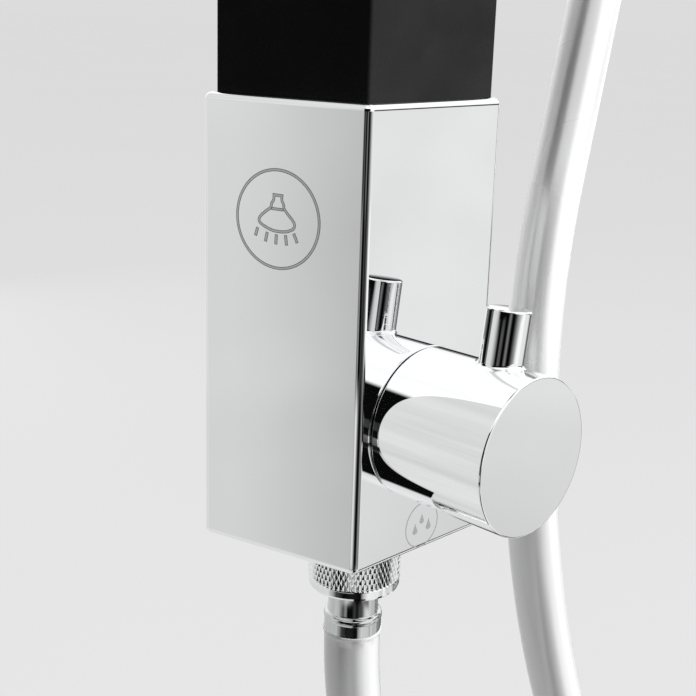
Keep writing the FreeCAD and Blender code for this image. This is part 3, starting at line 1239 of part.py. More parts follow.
def main():
    """Build every sub-part and write it."""
    os.makedirs("parts", exist_ok=True)
    export("column_profile", make_profile())
    export("column_top_cap", make_top_cap())
    export("cap_screws", make_cap_screws())
    export("lower_wall_bracket", make_bracket(bracket_heights()[0]))
    export("upper_wall_bracket", make_bracket(bracket_heights()[1]))
    export("bracket_lock_screws", make_lock_screws())
    export("control_housing", make_control_housing())
    export("housing_set_screws", make_housing_screws())
    export("housing_base", make_housing_base())
    export("base_screws", make_base_screws())
    export("valve_body", make_valve_body())
    export("valve_lock_ring", make_lock_ring())
    export("cartridge_seal", make_cartridge_seal())
    export("fixed_ceramic_disc", make_fixed_disc())
    export("moving_ceramic_disc", make_moving_disc())
    export("diverter_spindle", make_spindle())
    export("cartridge_shell", make_cartridge_shell())
    export("spindle_seals", make_spindle_seals())
    export("gland_nut", make_gland_nut())
    export("control_knob", make_knob())
    export("knob_set_screw", make_knob_screw())
    export("inlet_nipple", make_inlet_nipple())
    export("inlet_filter", make_inlet_filter())
    export("outlet_nipple", make_outlet_nipple())
    export("check_valve", make_check_valve())
    export("hose_nut", make_hose_nut())
    export("hose_washer", washer(V(0, AXIS_Y, OUTLET_END), DOWN))
    export("hose_tail", make_hose_tail())
    export("shower_hose", make_hose(hose_route()))
    export("riser_nut", make_riser_nut())
    export("riser_pipe", make_riser_pipe())
    export("riser_clips", make_riser_clips())
    export("arm_elbow", make_arm_elbow())
    export("arm_nut", make_arm_nut())
    export("arm_rosette", make_arm_rosette())
    export("overhead_arm", make_overhead_arm())
    export("ball_nipple", make_ball_nipple())
    export("ball_seat", make_ball_seat())
    export("ball_nut", make_ball_nut())
    export("head_shell", make_head_shell())
    export("head_face", make_head_face())
    export("head_nozzles", make_head_nozzles())
    export("holder_base", make_holder_base())
    export("holder_screws", make_holder_screws())
    export("holder_cup", make_holder_cup())
    export("cup_liner", make_cup_liner())
    export("hose_cone_nut", make_cone_nut())
    export("handset_tail", make_handset_tail())
    export("handset_washer", make_handset_washer())
    export("handset_shell", make_handset_shell())
    export("handset_face", make_handset_face())
    export("handset_nozzles", make_handset_nozzles())


main()
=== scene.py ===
"""Looks of the wedge-section shower column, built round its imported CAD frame.

Places are in the CAD's frame: +Z up, the wall is the plane Y = 0, the column stands at -Y. Sizes are in
metres where a line doesn't say millimetres.
"""
import json
import logging
import math
from dataclasses import astuple, dataclass, field
from enum import Enum
from typing import Iterable, Sequence

import bmesh
import bpy
from mathutils import Matrix, Vector


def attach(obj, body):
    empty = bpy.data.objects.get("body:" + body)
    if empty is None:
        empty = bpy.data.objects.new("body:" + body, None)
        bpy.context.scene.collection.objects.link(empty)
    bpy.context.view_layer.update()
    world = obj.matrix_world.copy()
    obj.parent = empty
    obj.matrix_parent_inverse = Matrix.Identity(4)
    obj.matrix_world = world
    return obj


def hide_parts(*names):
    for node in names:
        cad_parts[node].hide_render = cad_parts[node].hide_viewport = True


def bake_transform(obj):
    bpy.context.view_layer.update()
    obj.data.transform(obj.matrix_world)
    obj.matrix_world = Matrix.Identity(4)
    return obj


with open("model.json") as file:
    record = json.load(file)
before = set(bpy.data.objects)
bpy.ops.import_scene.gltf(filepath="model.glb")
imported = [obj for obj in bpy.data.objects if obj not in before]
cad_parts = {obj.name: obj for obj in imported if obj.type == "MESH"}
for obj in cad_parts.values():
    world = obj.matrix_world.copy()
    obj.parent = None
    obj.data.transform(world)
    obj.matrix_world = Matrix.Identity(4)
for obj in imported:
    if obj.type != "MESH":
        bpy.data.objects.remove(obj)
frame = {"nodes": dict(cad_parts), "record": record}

Mesh = bmesh.types.BMesh
Object = bpy.types.Object
Tree = bpy.types.NodeTree
Socket = bpy.types.NodeSocket
Point = tuple[float, float]
Place = tuple[float, float, float]
Colour = tuple[float, float, float]
Outline = Sequence[Point]

log = logging.getLogger("shower_column")
MM = 0.001


class Axis(Enum):
    """Directions that pieces are turned about or stand along."""

    RIGHT = (1.0, 0.0, 0.0)
    FRONT = (0.0, -1.0, 0.0)
    UP = (0.0, 0.0, 1.0)

    @property
    def vector(self) -> Vector:
        """The direction as a vector."""
        return Vector(self.value)


class Grain(Enum):
    """What the surface of a finish is like close up."""

    MIRROR = "mirror"
    POWDER = "powder"
    SATIN = "satin"
    TURNED = "turned"
    MOULDED = "moulded"


# ---- nodes and objects


def feed(tree: Tree, socket: Socket, value: Socket | float | tuple[float, ...]) -> None:
    """Give a socket a number, a colour or a link.

    Args:
        tree: the nodes that the socket belongs to.
        socket: the input.
        value: what it gets.
    """
    if isinstance(value, Socket):
        tree.links.new(value, socket)
    else:
        socket.default_value = value


def node(tree: Tree, kind: str, **values: Socket | float | tuple[float, ...]) -> bpy.types.Node:
    """Add a node and feed its inputs.

    Args:
        tree: the nodes that it joins.
        kind: its type, without the leading ShaderNode.
        values: what each named input gets, with _ for the spaces of its name.

    Returns:
        The node.
    """
    made = tree.nodes.new("ShaderNode" + kind)
    for name, value in values.items():
        feed(tree, made.inputs[name.replace("_", " ")], value)
    return made


def reckon(tree: Tree, kind: str, first: Socket | float, second: Socket | float) -> Socket:
    """Reckon with two values.

    Args:
        tree: the nodes that it joins.
        kind: what is done with them.
        first: the first value.
        second: the second one.

    Returns:
        The result.
    """
    made = node(tree, "Math")
    made.operation = kind
    for socket, value in zip(made.inputs, (first, second)):
        feed(tree, socket, value)
    return made.outputs["Value"]


def smooth_step(tree: Tree, source: Socket, limits: Point, results: Point) -> Socket:
    """Change smoothly from one result to another.

    Args:
        tree: the nodes that it joins.
        source: the value that leads the change.
        limits: where the value starts and ends it.
        results: what comes before and after it.

    Returns:
        The result.
    """
    span = node(tree, "MapRange", Value=source, From_Min=limits[0], From_Max=limits[1],
                To_Min=results[0], To_Max=results[1])
    span.interpolation_type = "SMOOTHSTEP"
    return span.outputs["Result"]


def placed(name: str, data: bpy.types.ID) -> Object:
    """Make an object of some data and give it to the scene.

    Args:
        name: the object's name.
        data: its mesh, curve, camera or light.

    Returns:
        The object.
    """
    made = bpy.data.objects.new(name, data)
    bpy.context.scene.collection.objects.link(made)
    return made


# ---- finishes

NOISE_LOW, NOISE_HIGH = 0.3, 0.7  # nearly all of a noise texture lies between these
BROADER = 40.0  # the broad noise's grain against the fine one's
TURNED_STRETCH = 14.0  # how much finer turning marks are along Z than across it


@dataclass(frozen=True)
class Finish:
    """One material: its colour, its gloss and the grain that breaks them up.

    Attributes:
        name: the material's name.
        colour: linear base colour.
        metallic: how far it is a metal.
        roughness: middle of its roughness.
        spread: how far the roughness wanders either side of the middle.
        grain: what it is like close up.
        scale: size of the grain's noise, per metre.
        bump: height of the grain, in metres.
        variation: how far the colour wanders, as a share of itself.
        mirror: the surface's own reflection, where 0.5 is a usual one.
    """

    name: str
    colour: Colour
    metallic: float = 0.0
    roughness: float = 0.4
    spread: float = 0.05
    grain: Grain = Grain.MOULDED
    scale: float = 900.0
    bump: float = 0.0
    variation: float = 0.06
    mirror: float = 0.5

    def build(self) -> bpy.types.Material:
        """Make the node material, or give back the one already made.

        Returns:
            The material.
        """
        made = bpy.data.materials.get(self.name)
        if made is not None:
            return made
        material = bpy.data.materials.new(self.name)
        material.use_nodes = True
        material.diffuse_color = (*self.colour, 1.0)
        tree = material.node_tree
        stretch = (1.0, 1.0, TURNED_STRETCH if self.grain is Grain.TURNED else 1.0)
        place = node(tree, "TexCoord").outputs["Object"]
        place = node(tree, "Mapping", Vector=place, Scale=stretch).outputs["Vector"]
        fine = node(tree, "TexNoise", Vector=place, Scale=self.scale, Detail=3.0).outputs["Fac"]
        broad = node(tree, "TexNoise", Vector=place, Scale=self.scale / BROADER, Detail=2.0).outputs["Fac"]
        wander = fine if self.grain in (Grain.POWDER, Grain.TURNED) else broad
        gloss = node(tree, "MapRange", Value=wander, From_Min=NOISE_LOW, From_Max=NOISE_HIGH,
                     To_Min=max(0.0, self.roughness - self.spread), To_Max=self.roughness + self.spread)
        looks = {"Metallic": self.metallic, "Specular IOR Level": self.mirror,
                 "Base Color": self.tint(tree, broad), "Roughness": gloss.outputs["Result"]}
        if self.bump > 0:
            relief = node(tree, "Bump", Strength=1.0, Distance=self.bump, Height=fine)
            looks["Normal"] = relief.outputs["Normal"]
        for name, value in looks.items():
            feed(tree, tree.nodes["Principled BSDF"].inputs[name], value)
        return material

    def tint(self, tree: Tree, noise: Socket) -> Socket:
        """Let the colour wander a little over the surface.

        Args:
            tree: the material's nodes.
            noise: the broad noise.

        Returns:
            The colour.
        """
        ramp = node(tree, "ValToRGB", Fac=noise)
        ends = ((NOISE_LOW, 1.0 - self.variation), (NOISE_HIGH, 1.0 + self.variation))
        for stop, (position, share) in zip(ramp.color_ramp.elements, ends):
            stop.position = position
            stop.color = (*(min(1.0, c * share) for c in self.colour), 1.0)
        return ramp.outputs["Color"]


CHROME = Finish("polished_chrome", (0.93, 0.935, 0.94), 1.0, 0.02, 0.008, Grain.MIRROR, 400.0, 0.0, 0.01)
# Its base colour, darker than the polished chrome's, is painted shade: it stands in for the shaded wall that
# the hose tail's neck reflects.
SATIN_CHROME_PAINTED_SHADE = Finish("satin_chrome_painted_shade", (0.66, 0.665, 0.67), 1.0, 0.08, 0.03, Grain.SATIN, 500.0, 0.0, 0.04)
POWDER_BLACK = Finish("black_powder_coat", (0.018, 0.018, 0.0182), 0.0, 0.42, 0.12, Grain.POWDER, 2600.0,
                      0.00008, 0.15, 0.03)
HOSE_SILVER = Finish("silver_hose_sleeve", (0.84, 0.842, 0.845), 0.38, 0.28, 0.05, Grain.SATIN, 500.0,
                     0.00001)
BRASS = Finish("machined_brass", (0.66, 0.47, 0.21), 1.0, 0.3, 0.08, Grain.TURNED, 700.0, 0.00001)
COPPER = Finish("drawn_copper", (0.72, 0.36, 0.22), 1.0, 0.28, 0.06, Grain.TURNED, 700.0, 0.00001)
ZINC = Finish("zinc_plated_steel", (0.6, 0.61, 0.63), 1.0, 0.34, 0.08, Grain.TURNED, 900.0, 0.00001)
CERAMIC = Finish("lapped_ceramic", (0.86, 0.86, 0.84), 0.0, 0.16, 0.03, Grain.MOULDED, 1500.0)
BLACK_PLASTIC = Finish("black_plastic", (0.018, 0.018, 0.02), 0.0, 0.45, 0.06, Grain.MOULDED, 3000.0,
                       0.00003)
WHITE_PLASTIC = Finish("white_plastic", (0.78, 0.78, 0.76), 0.0, 0.35, 0.05, Grain.MOULDED, 2500.0,
                       0.00001)
GREY_FACE = Finish("grey_spray_face", (0.3, 0.31, 0.325), 0.0, 0.3, 0.05, Grain.MOULDED, 2500.0, 0.00001)
RUBBER = Finish("black_rubber", (0.02, 0.02, 0.021), 0.0, 0.62, 0.06, Grain.MOULDED, 2200.0, 0.00004)
NOZZLE_GREY = Finish("nozzle_rubber", (0.12, 0.125, 0.135), 0.0, 0.55, 0.05, Grain.MOULDED, 2200.0,
                     0.00002)
ETCHED_EDGE = Finish("etched_edge", (0.24, 0.24, 0.242), 1.0, 0.45, 0.05, Grain.MOULDED, 3000.0)
ETCHED_MIDDLE = Finish("etched_middle", (0.62, 0.62, 0.625), 1.0, 0.4, 0.05, Grain.MOULDED, 3000.0)
FLOOR_PAINT = Finish("floor_paint", (0.1, 0.1, 0.1), 0.0, 0.9, 0.02, Grain.MOULDED, 40.0, mirror=0.0)

NODE_FINISH = {
    "black_column": POWDER_BLACK,
    "chrome": CHROME,
    "chromed_plastic": CHROME,
    "brass": BRASS,
    "steel": ZINC,
    "copper_pipe": COPPER,
    "ceramic": CERAMIC,
    "black_plastic": BLACK_PLASTIC,
    "white_plastic": WHITE_PLASTIC,
    "grey_face": GREY_FACE,
    "rubber": RUBBER,
    "nozzle_rubber": NOZZLE_GREY,
    "hose_sleeve": HOSE_SILVER,
}


# ---- mesh helpers


def as_piece(mesh: Mesh, name: str, finish: Finish, body: str,
             replaces: Sequence[str] = (), smooth: float = 40.0) -> Object:
    """Turn a finished bmesh into a piece that rides on a body.

    Args:
        mesh: the bmesh, freed here.
        name: the piece's name.
        finish: its material.
        body: the CAD body that carries it.
        replaces: CAD nodes that it stands for.
        smooth: edges sharper than this angle in degrees stay sharp.

    Returns:
        The new object.
    """
    data = bpy.data.meshes.new(name)
    mesh.to_mesh(data)
    mesh.free()
    data.materials.append(finish.build())
    data.shade_smooth()
    data.set_sharp_from_angle(angle=math.radians(smooth))
    piece = placed(name, data)
    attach(piece, body)
    if replaces:
        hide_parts(*replaces)
    log.info("%s: %d faces", name, len(data.polygons))
    return piece


def weighted(piece: Object) -> Object:
    """Keep large flat faces flat in reflections beside their rounded edges.

    Args:
        piece: the piece, whose sharp edges stay.

    Returns:
        The same piece.
    """
    normals = piece.modifiers.new("face_weighted", "WEIGHTED_NORMAL")
    normals.mode = "FACE_AREA"
    normals.weight = 100
    normals.keep_sharp = True
    return piece


def turned(outline: Outline, steps: int, closed: bool = True) -> Mesh:
    """Spin an outline round the Z axis.

    Args:
        outline: (radius, height) points in order.
        steps: how many segments go round.
        closed: whether the outline's last point joins its first.

    Returns:
        The turned bmesh, its normals outwards.
    """
    mesh = bmesh.new()
    verts = [mesh.verts.new((radius, 0.0, height)) for radius, height in outline]
    edges = [mesh.edges.new(pair) for pair in zip(verts, verts[1:])]
    if closed and outline[0] != outline[-1]:
        edges.append(mesh.edges.new((verts[-1], verts[0])))
    bmesh.ops.spin(mesh, geom=verts + edges, cent=(0, 0, 0), axis=(0, 0, 1), angle=2 * math.pi,
                   steps=steps, use_merge=True)
    bmesh.ops.remove_doubles(mesh, verts=mesh.verts, dist=1e-7)
    bmesh.ops.recalc_face_normals(mesh, faces=mesh.faces)
    return mesh


def join(mesh: Mesh, other: Mesh) -> None:
    """Add another bmesh to this one.

    Args:
        mesh: the bmesh that grows.
        other: the one that joins it, freed here.
    """
    data = bpy.data.meshes.new("joined")
    other.to_mesh(data)
    other.free()
    mesh.from_mesh(data)
    bpy.data.meshes.remove(data)


def stand(mesh: Mesh, base: Vector, axis: Vector) -> Mesh:
    """Turn a mesh built along +Z so that it stands on a point along an axis.

    Args:
        mesh: the bmesh.
        base: where its origin goes.
        axis: where its +Z goes.

    Returns:
        The same bmesh.
    """
    turn = axis.to_track_quat("Z", "Y").to_matrix().to_4x4()
    bmesh.ops.transform(mesh, matrix=Matrix.Translation(base) @ turn, verts=mesh.verts)
    return mesh


EDGE_SHARE = 0.45  # the most of an edge that the rounding of a corner takes


def arc(centre: Point, radius: float, start: float, end: float, steps: int) -> list[Point]:
    """Points on an arc between two angles in degrees, without its first one."""
    turns = [math.radians(start + (end - start) * step / steps) for step in range(1, steps + 1)]
    return [(centre[0] + radius * math.cos(turn), centre[1] + radius * math.sin(turn)) for turn in turns]


def rounded(outline: Outline, radius: float, segments: int = 5, keep: Iterable[int] = ()) -> list[Point]:
    """Round the corners of a closed outline with arcs.

    Args:
        outline: the corner points.
        radius: the rounding's size.
        segments: points in each arc.
        keep: corners that stay sharp.

    Returns:
        The outline with its arcs.
    """
    made: list[Point] = []
    count = len(outline)
    kept = set(keep)
    for i, corner in enumerate(outline):
        if i in kept:
            made.append(corner)
            continue
        here = Vector(corner)
        before = Vector(outline[i - 1]) - here
        after = Vector(outline[(i + 1) % count]) - here
        size = min(radius, EDGE_SHARE * before.length, EDGE_SHARE * after.length)
        start = here + before.normalized() * size
        end = here + after.normalized() * size
        for step in range(segments + 1):
            t = step / segments
            point = start * (1 - t) ** 2 + here * (2 * t * (1 - t)) + end * t ** 2
            made.append((point.x, point.y))
    return made


# ---- the panel's section


@dataclass(frozen=True)
class Section:
    """The wedge-shaped section that the column and its housing share.

    Attributes:
        front: Y of the housing's front face.
        back: Y of its back face.
        front_width: width of its front face.
        flank: angle of its flanks from the Y axis, in degrees.
        bottom: height of the housing's lower edge.
        top: height of its upper edge.
    """

    front: float = -56 * MM
    back: float = -12 * MM
    front_width: float = 45 * MM
    flank: float = 14.0
    bottom: float = -170 * MM
    top: float = -60 * MM

    @property
    def middle(self) -> float:
        """Y of the section's middle."""
        return (self.front + self.back) / 2

    def half_width(self, y: float, inset: float = 0.0) -> float:
        """Half the width at a depth, for a section set in from the outside."""
        turn = math.radians(self.flank)
        return self.front_width / 2 + (y - self.front) * math.tan(turn) - inset / math.cos(turn)

    def prism(self, inset: float, low: float, high: float) -> Mesh:
        """A solid bar of this section.

        Args:
            inset: how far it is set in from the outside.
            low: its lower height.
            high: its upper height.

        Returns:
            The bar as a bmesh.
        """
        mesh = bmesh.new()
        bmesh.ops.create_cube(mesh, size=1.0)
        for vert in mesh.verts:
            y = self.front + inset if vert.co.y < 0 else self.back - inset
            half = self.half_width(y, inset)
            vert.co = Vector((math.copysign(half, vert.co.x), y, low if vert.co.z < 0 else high))
        return mesh


SECTION = Section()


def upright_edges(mesh: Mesh) -> list[bmesh.types.BMEdge]:
    """The edges that run along Z."""
    return [e for e in mesh.edges
            if (e.verts[0].co.xy - e.verts[1].co.xy).length < 1e-7 and e.calc_length() > 1e-6]


def bevel(mesh: Mesh, edges: Iterable[bmesh.types.BMEdge], size: float, segments: int) -> None:
    """Round edges of a bmesh by a size, in a number of facets."""
    bmesh.ops.bevel(mesh, geom=list(edges), offset=size, offset_type="OFFSET", affect="EDGES",
                    segments=segments, profile=0.5, material=-1)


# ---- camera


@dataclass(frozen=True)
class PhotoCamera:
    """The camera at the photograph's place, found from the housing's edges and the knob.

    Attributes:
        place: where it stands.
        yaw: turn from +Y towards +X, in degrees.
        pitch: how far it looks down, in degrees.
        roll: its roll, in degrees.
        lens: its focal length, in millimetres.
        sensor: its sensor's width, in millimetres.
        sight: the nearest and the farthest that it sees.
    """

    place: Place = (-209.07 * MM, -237.79 * MM, -40.64 * MM)
    yaw: float = 45.06
    pitch: float = 15.71
    roll: float = -1.756
    lens: float = 62.41
    sensor: float = 36.0
    sight: Point = (0.01, 50.0)

    def build(self) -> Object:
        """Make the camera and give it to the scene.

        Returns:
            The camera.
        """
        yaw, pitch, roll = (math.radians(a) for a in (self.yaw, self.pitch, self.roll))
        ahead = Vector((math.sin(yaw) * math.cos(pitch), math.cos(yaw) * math.cos(pitch), -math.sin(pitch)))
        level = Vector((math.cos(yaw), -math.sin(yaw), 0.0))
        below = ahead.cross(level)
        right = math.cos(roll) * level + math.sin(roll) * below
        down = -math.sin(roll) * level + math.cos(roll) * below
        data = bpy.data.cameras.new("photo_camera")
        data.lens = self.lens
        data.sensor_width = self.sensor
        data.clip_start, data.clip_end = self.sight
        camera = placed("photo_camera", data)
        turn = Matrix((right, -down, -ahead)).transposed().to_4x4()
        camera.matrix_world = Matrix.Translation(Vector(self.place)) @ turn
        bpy.context.scene.camera = camera
        return camera


# ---- hose


@dataclass
class ShowerHose:
    """The smooth silver hose from the housing's outlet to the hand shower.

    Attributes:
        radius: the hose's radius.
        length: its real length between the ferrules, not used.
        cup: centre of the holder's cup, in millimetres.
        lean: how far the hand shower leans forward, in degrees.
        end_height: where the hose ends from the cup's centre along the lean, in millimetres.
        last_run: its straight run into the upper ferrule, in millimetres.
        still: a way from its upper end, not used.
        route: the points that it follows, in millimetres.
    """

    radius: float = 7.5 * MM
    length: float = 1.5
    cup: Place = (70.5576, -45.1284, 526.0)
    lean: float = 18.0
    end_height: float = -25.1
    last_run: float = 34.3
    still: Place = (0.0, 0.05, -0.3)
    route: list[Place] = field(default_factory=lambda: [
        (0, -34, -203.1), (0, -34, -216.1), (3.5, -36.5, -243.1), (2.0, -40, -288), (-18, -44, -346),
        (-37, -49, -408), (-42, -54, -471), (-11, -58, -523), (43, -60, -543), (98, -60, -525),
        (130, -59, -474), (130, -57, -411), (114, -54, -342), (89, -51, -277), (66, -49, -218),
        (57, -46, -163), (64, -40, -108), (86, -33, -58), (108, -27, 2), (120, -22, 75),
        (119, -18, 150), (108, -16, 222), (94, -16, 290), (81, -16, 352), (73, -17, 408),
    ])

    def points(self) -> list[Vector]:
        """The route's points in metres, with its end at the hand shower's ferrule.

        Returns:
            The points, from the housing on.
        """
        lean = math.radians(self.lean)
        along = Vector((0, -math.sin(lean), math.cos(lean)))
        end = Vector(self.cup) + along * self.end_height
        return [Vector(place) * MM for place in (*self.route, end - along * self.last_run, end)]

    def line(self, bevel_radius: float) -> Object:
        """The route's spline.

        Args:
            bevel_radius: the tube's radius, or 0 for its middle line.

        Returns:
            A curve object.
        """
        curve = bpy.data.curves.new("hose_line", "CURVE")
        curve.dimensions = "3D"
        curve.resolution_u = 10
        curve.bevel_depth = bevel_radius
        curve.bevel_resolution = 14
        curve.use_fill_caps = bevel_radius > 0
        spline = curve.splines.new("NURBS")
        places = self.points()
        spline.points.add(len(places) - 1)
        for point, place in zip(spline.points, places):
            point.co = (*place, 1.0)
        spline.order_u = 3
        spline.use_endpoint_u = True
        return placed("hose_line", curve)

    def read(self, bevel_radius: float) -> bpy.types.Mesh:
        """The spline as a mesh, its curve object removed again.

        Args:
            bevel_radius: the tube's radius, or 0 for its middle line.

        Returns:
            The mesh.
        """
        line = self.line(bevel_radius)
        bpy.context.view_layer.update()
        mesh = bpy.data.meshes.new_from_object(line.evaluated_get(bpy.context.evaluated_depsgraph_get()))
        bpy.data.objects.remove(line)
        return mesh

    def build(self, fittings: list[Object]) -> Object:
        """Args:
            fittings: the nut and the tail at its lower end, not used.

        Returns:
            The hose.
        """
        path = [vert.co.copy() for vert in self.read(0.0).vertices]
        mesh = self.read(self.radius)
        mesh.name = "silver_hose"
        mesh.materials.clear()
        mesh.materials.append(HOSE_SILVER.build())
        mesh.shade_smooth()
        mesh.set_sharp_from_angle(angle=math.radians(50))
        hose = placed("silver_hose", mesh)
        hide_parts("shower_hose")
        run = sum((b - a).length for a, b in zip(path, path[1:]))
        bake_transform(hose)
        log.info("silver_hose: %.3f m", run)
        return hose


# ---- housing, knob, hose nut, signs and hand shower


@dataclass
class Housing:
    """The chrome sleeve round the valve.

    Attributes:
        section: the shared section.
        wall: the sleeve's wall.
        edge: rounding of its front upright edges.
        back_edge: rounding of its sharper back edges.
        rim: height of its rims' rounding.
        rim_inwards: how far the rims' rounding goes inwards.
        hang: how far its rounded lower rim hangs below the section's lower edge.
        inner_corner: rounding of the hollow's upright edges.
        corner_steps: facets in each rounded edge.
    """

    section: Section = SECTION
    wall: float = 1.8 * MM
    edge: float = 1.5 * MM
    back_edge: float = 2.15 * MM
    rim: float = 1.7 * MM
    rim_inwards: float = 1.6 * MM
    hang: float = 0.35 * MM
    inner_corner: float = 0.45 * MM
    corner_steps: int = 10

    def build(self) -> Object:
        """Make the sleeve.

        Returns:
            The housing.
        """
        low, high = self.section.bottom - self.hang, self.section.top
        mesh = self.section.prism(0.0, low + self.rim, high - self.rim)
        for side, size in ((-1, self.edge), (1, self.back_edge)):
            corner = [e for e in upright_edges(mesh) if (e.verts[0].co.y - self.section.middle) * side > 0]
            bevel(mesh, corner, size, self.corner_steps)
        for face in [f for f in mesh.faces if abs(f.normal.z) > 0.9]:
            self.round_rim(mesh, face)
        inner = self.section.prism(self.wall, low, high)
        bevel(inner, upright_edges(inner), self.inner_corner, self.corner_steps)
        bmesh.ops.reverse_faces(inner, faces=inner.faces)
        join(mesh, inner)
        ends = [f for f in mesh.faces if len(f.verts) > 4]
        for side in (-1, 1):
            pair = [f for f in ends if f.calc_center_median().z * side > (low + high) / 2 * side]
            bmesh.ops.bridge_loops(mesh, edges=[e for f in pair for e in f.edges])
        bmesh.ops.delete(mesh, geom=ends, context="FACES_ONLY")
        bmesh.ops.recalc_face_normals(mesh, faces=mesh.faces)
        return weighted(as_piece(mesh, "housing_sleeve", CHROME, "root", ["control_housing"],
                                 smooth=60.0))

    def round_rim(self, mesh: Mesh, face: bmesh.types.BMFace) -> None:
        """Round an end's rim by stepping its face inwards and outwards.

        Args:
            mesh: the bmesh that holds the face.
            face: the end face.
        """
        turns = [math.pi / 2 * i / self.corner_steps for i in range(self.corner_steps + 1)]
        for before, after in zip(turns, turns[1:]):
            bmesh.ops.inset_individual(mesh, faces=[face], use_even_offset=True,
                                       thickness=self.rim_inwards * (math.cos(before) - math.cos(after)),
                                       depth=self.rim * (math.sin(after) - math.sin(before)))


@dataclass
class ControlKnob:
    """The round knob with its lever pin.

    Attributes:
        section: the shared section.
        height: height of its axis.
        radius: its radius.
        gap: its clearance from the housing.
        length: how far its face stands from the housing.
        cavity: radius of the hollow behind.
        cavity_depth: depth of that hollow, from the housing.
        edge: rounding of its rims.
        pin_radius: the lever pin's radius.
        pin_from_face: the pin's distance from the housing.
        pin_top: the pin's top above the axis.
        pin_turn: the pin's turn from upright towards the right, in degrees.
        fillet: the fillet at the pin's root.
        root: how deep in the barrel its foot ends.
        plain: the pin's upper length, which keeps clear of the barrel's roundness.
    """

    section: Section = SECTION
    height: float = -136.2 * MM
    radius: float = 18.75 * MM
    gap: float = 0.25 * MM
    length: float = 32.7 * MM
    cavity: float = 16.4 * MM
    cavity_depth: float = 7.2 * MM
    edge: float = 0.5 * MM
    pin_radius: float = 5.25 * MM
    pin_from_face: float = 20 * MM
    pin_top: float = 31.7 * MM
    pin_turn: float = 8.0
    fillet: float = 0.9 * MM
    root: float = 3.5 * MM
    plain: float = 4 * MM

    def barrel(self) -> Mesh:
        """The turned barrel, standing on the housing's face.

        Returns:
            The barrel.
        """
        outline = [(0.0, self.length), (self.radius, self.length), (self.radius, self.gap),
                   (self.cavity, self.gap), (self.cavity, self.cavity_depth), (0.0, self.cavity_depth)]
        mesh = turned(rounded(outline, self.edge, keep=(0, 4, 5)), steps=160, closed=False)
        return stand(mesh, Vector((0, self.section.front, self.height)), Axis.FRONT.vector)

    def pin(self) -> Mesh:
        """The lever pin, its root flowing onto the barrel's round side.

        Returns:
            The pin.
        """
        neck, side = self.pin_top - self.edge, self.radius + self.fillet
        outline = [(0.0, self.pin_top), (self.pin_radius - self.edge, self.pin_top)]
        outline += arc((self.pin_radius - self.edge, neck), self.edge, 90, 0, 5)
        outline += [(self.pin_radius, neck - (neck - side) * step / 6) for step in range(1, 7)]
        outline += arc((self.pin_radius + self.fillet, side), self.fillet, 180, 270, 8)
        outline.append((self.pin_radius + self.fillet, self.radius - self.root))
        mesh = turned(outline, steps=72, closed=False)
        level = self.pin_top - self.plain
        for vert in mesh.verts:
            share = min(1.0, max(0.0, (level - vert.co.z) / (level - side)))
            vert.co.z -= share * (self.radius - math.sqrt(self.radius ** 2 - vert.co.x ** 2))
        centre = Vector((0, self.section.front - self.pin_from_face, self.height))
        turn = Matrix.Rotation(math.radians(self.pin_turn), 4, "Y")
        bmesh.ops.transform(mesh, matrix=Matrix.Translation(centre) @ turn, verts=mesh.verts)
        return mesh

    def build(self) -> None:
        """Make the knob's barrel and pin."""
        weighted(as_piece(self.barrel(), "knob_barrel", CHROME, "knob", ["control_knob"],
                          smooth=35.0))
        weighted(as_piece(self.pin(), "knob_pin", CHROME, "knob", smooth=50.0))


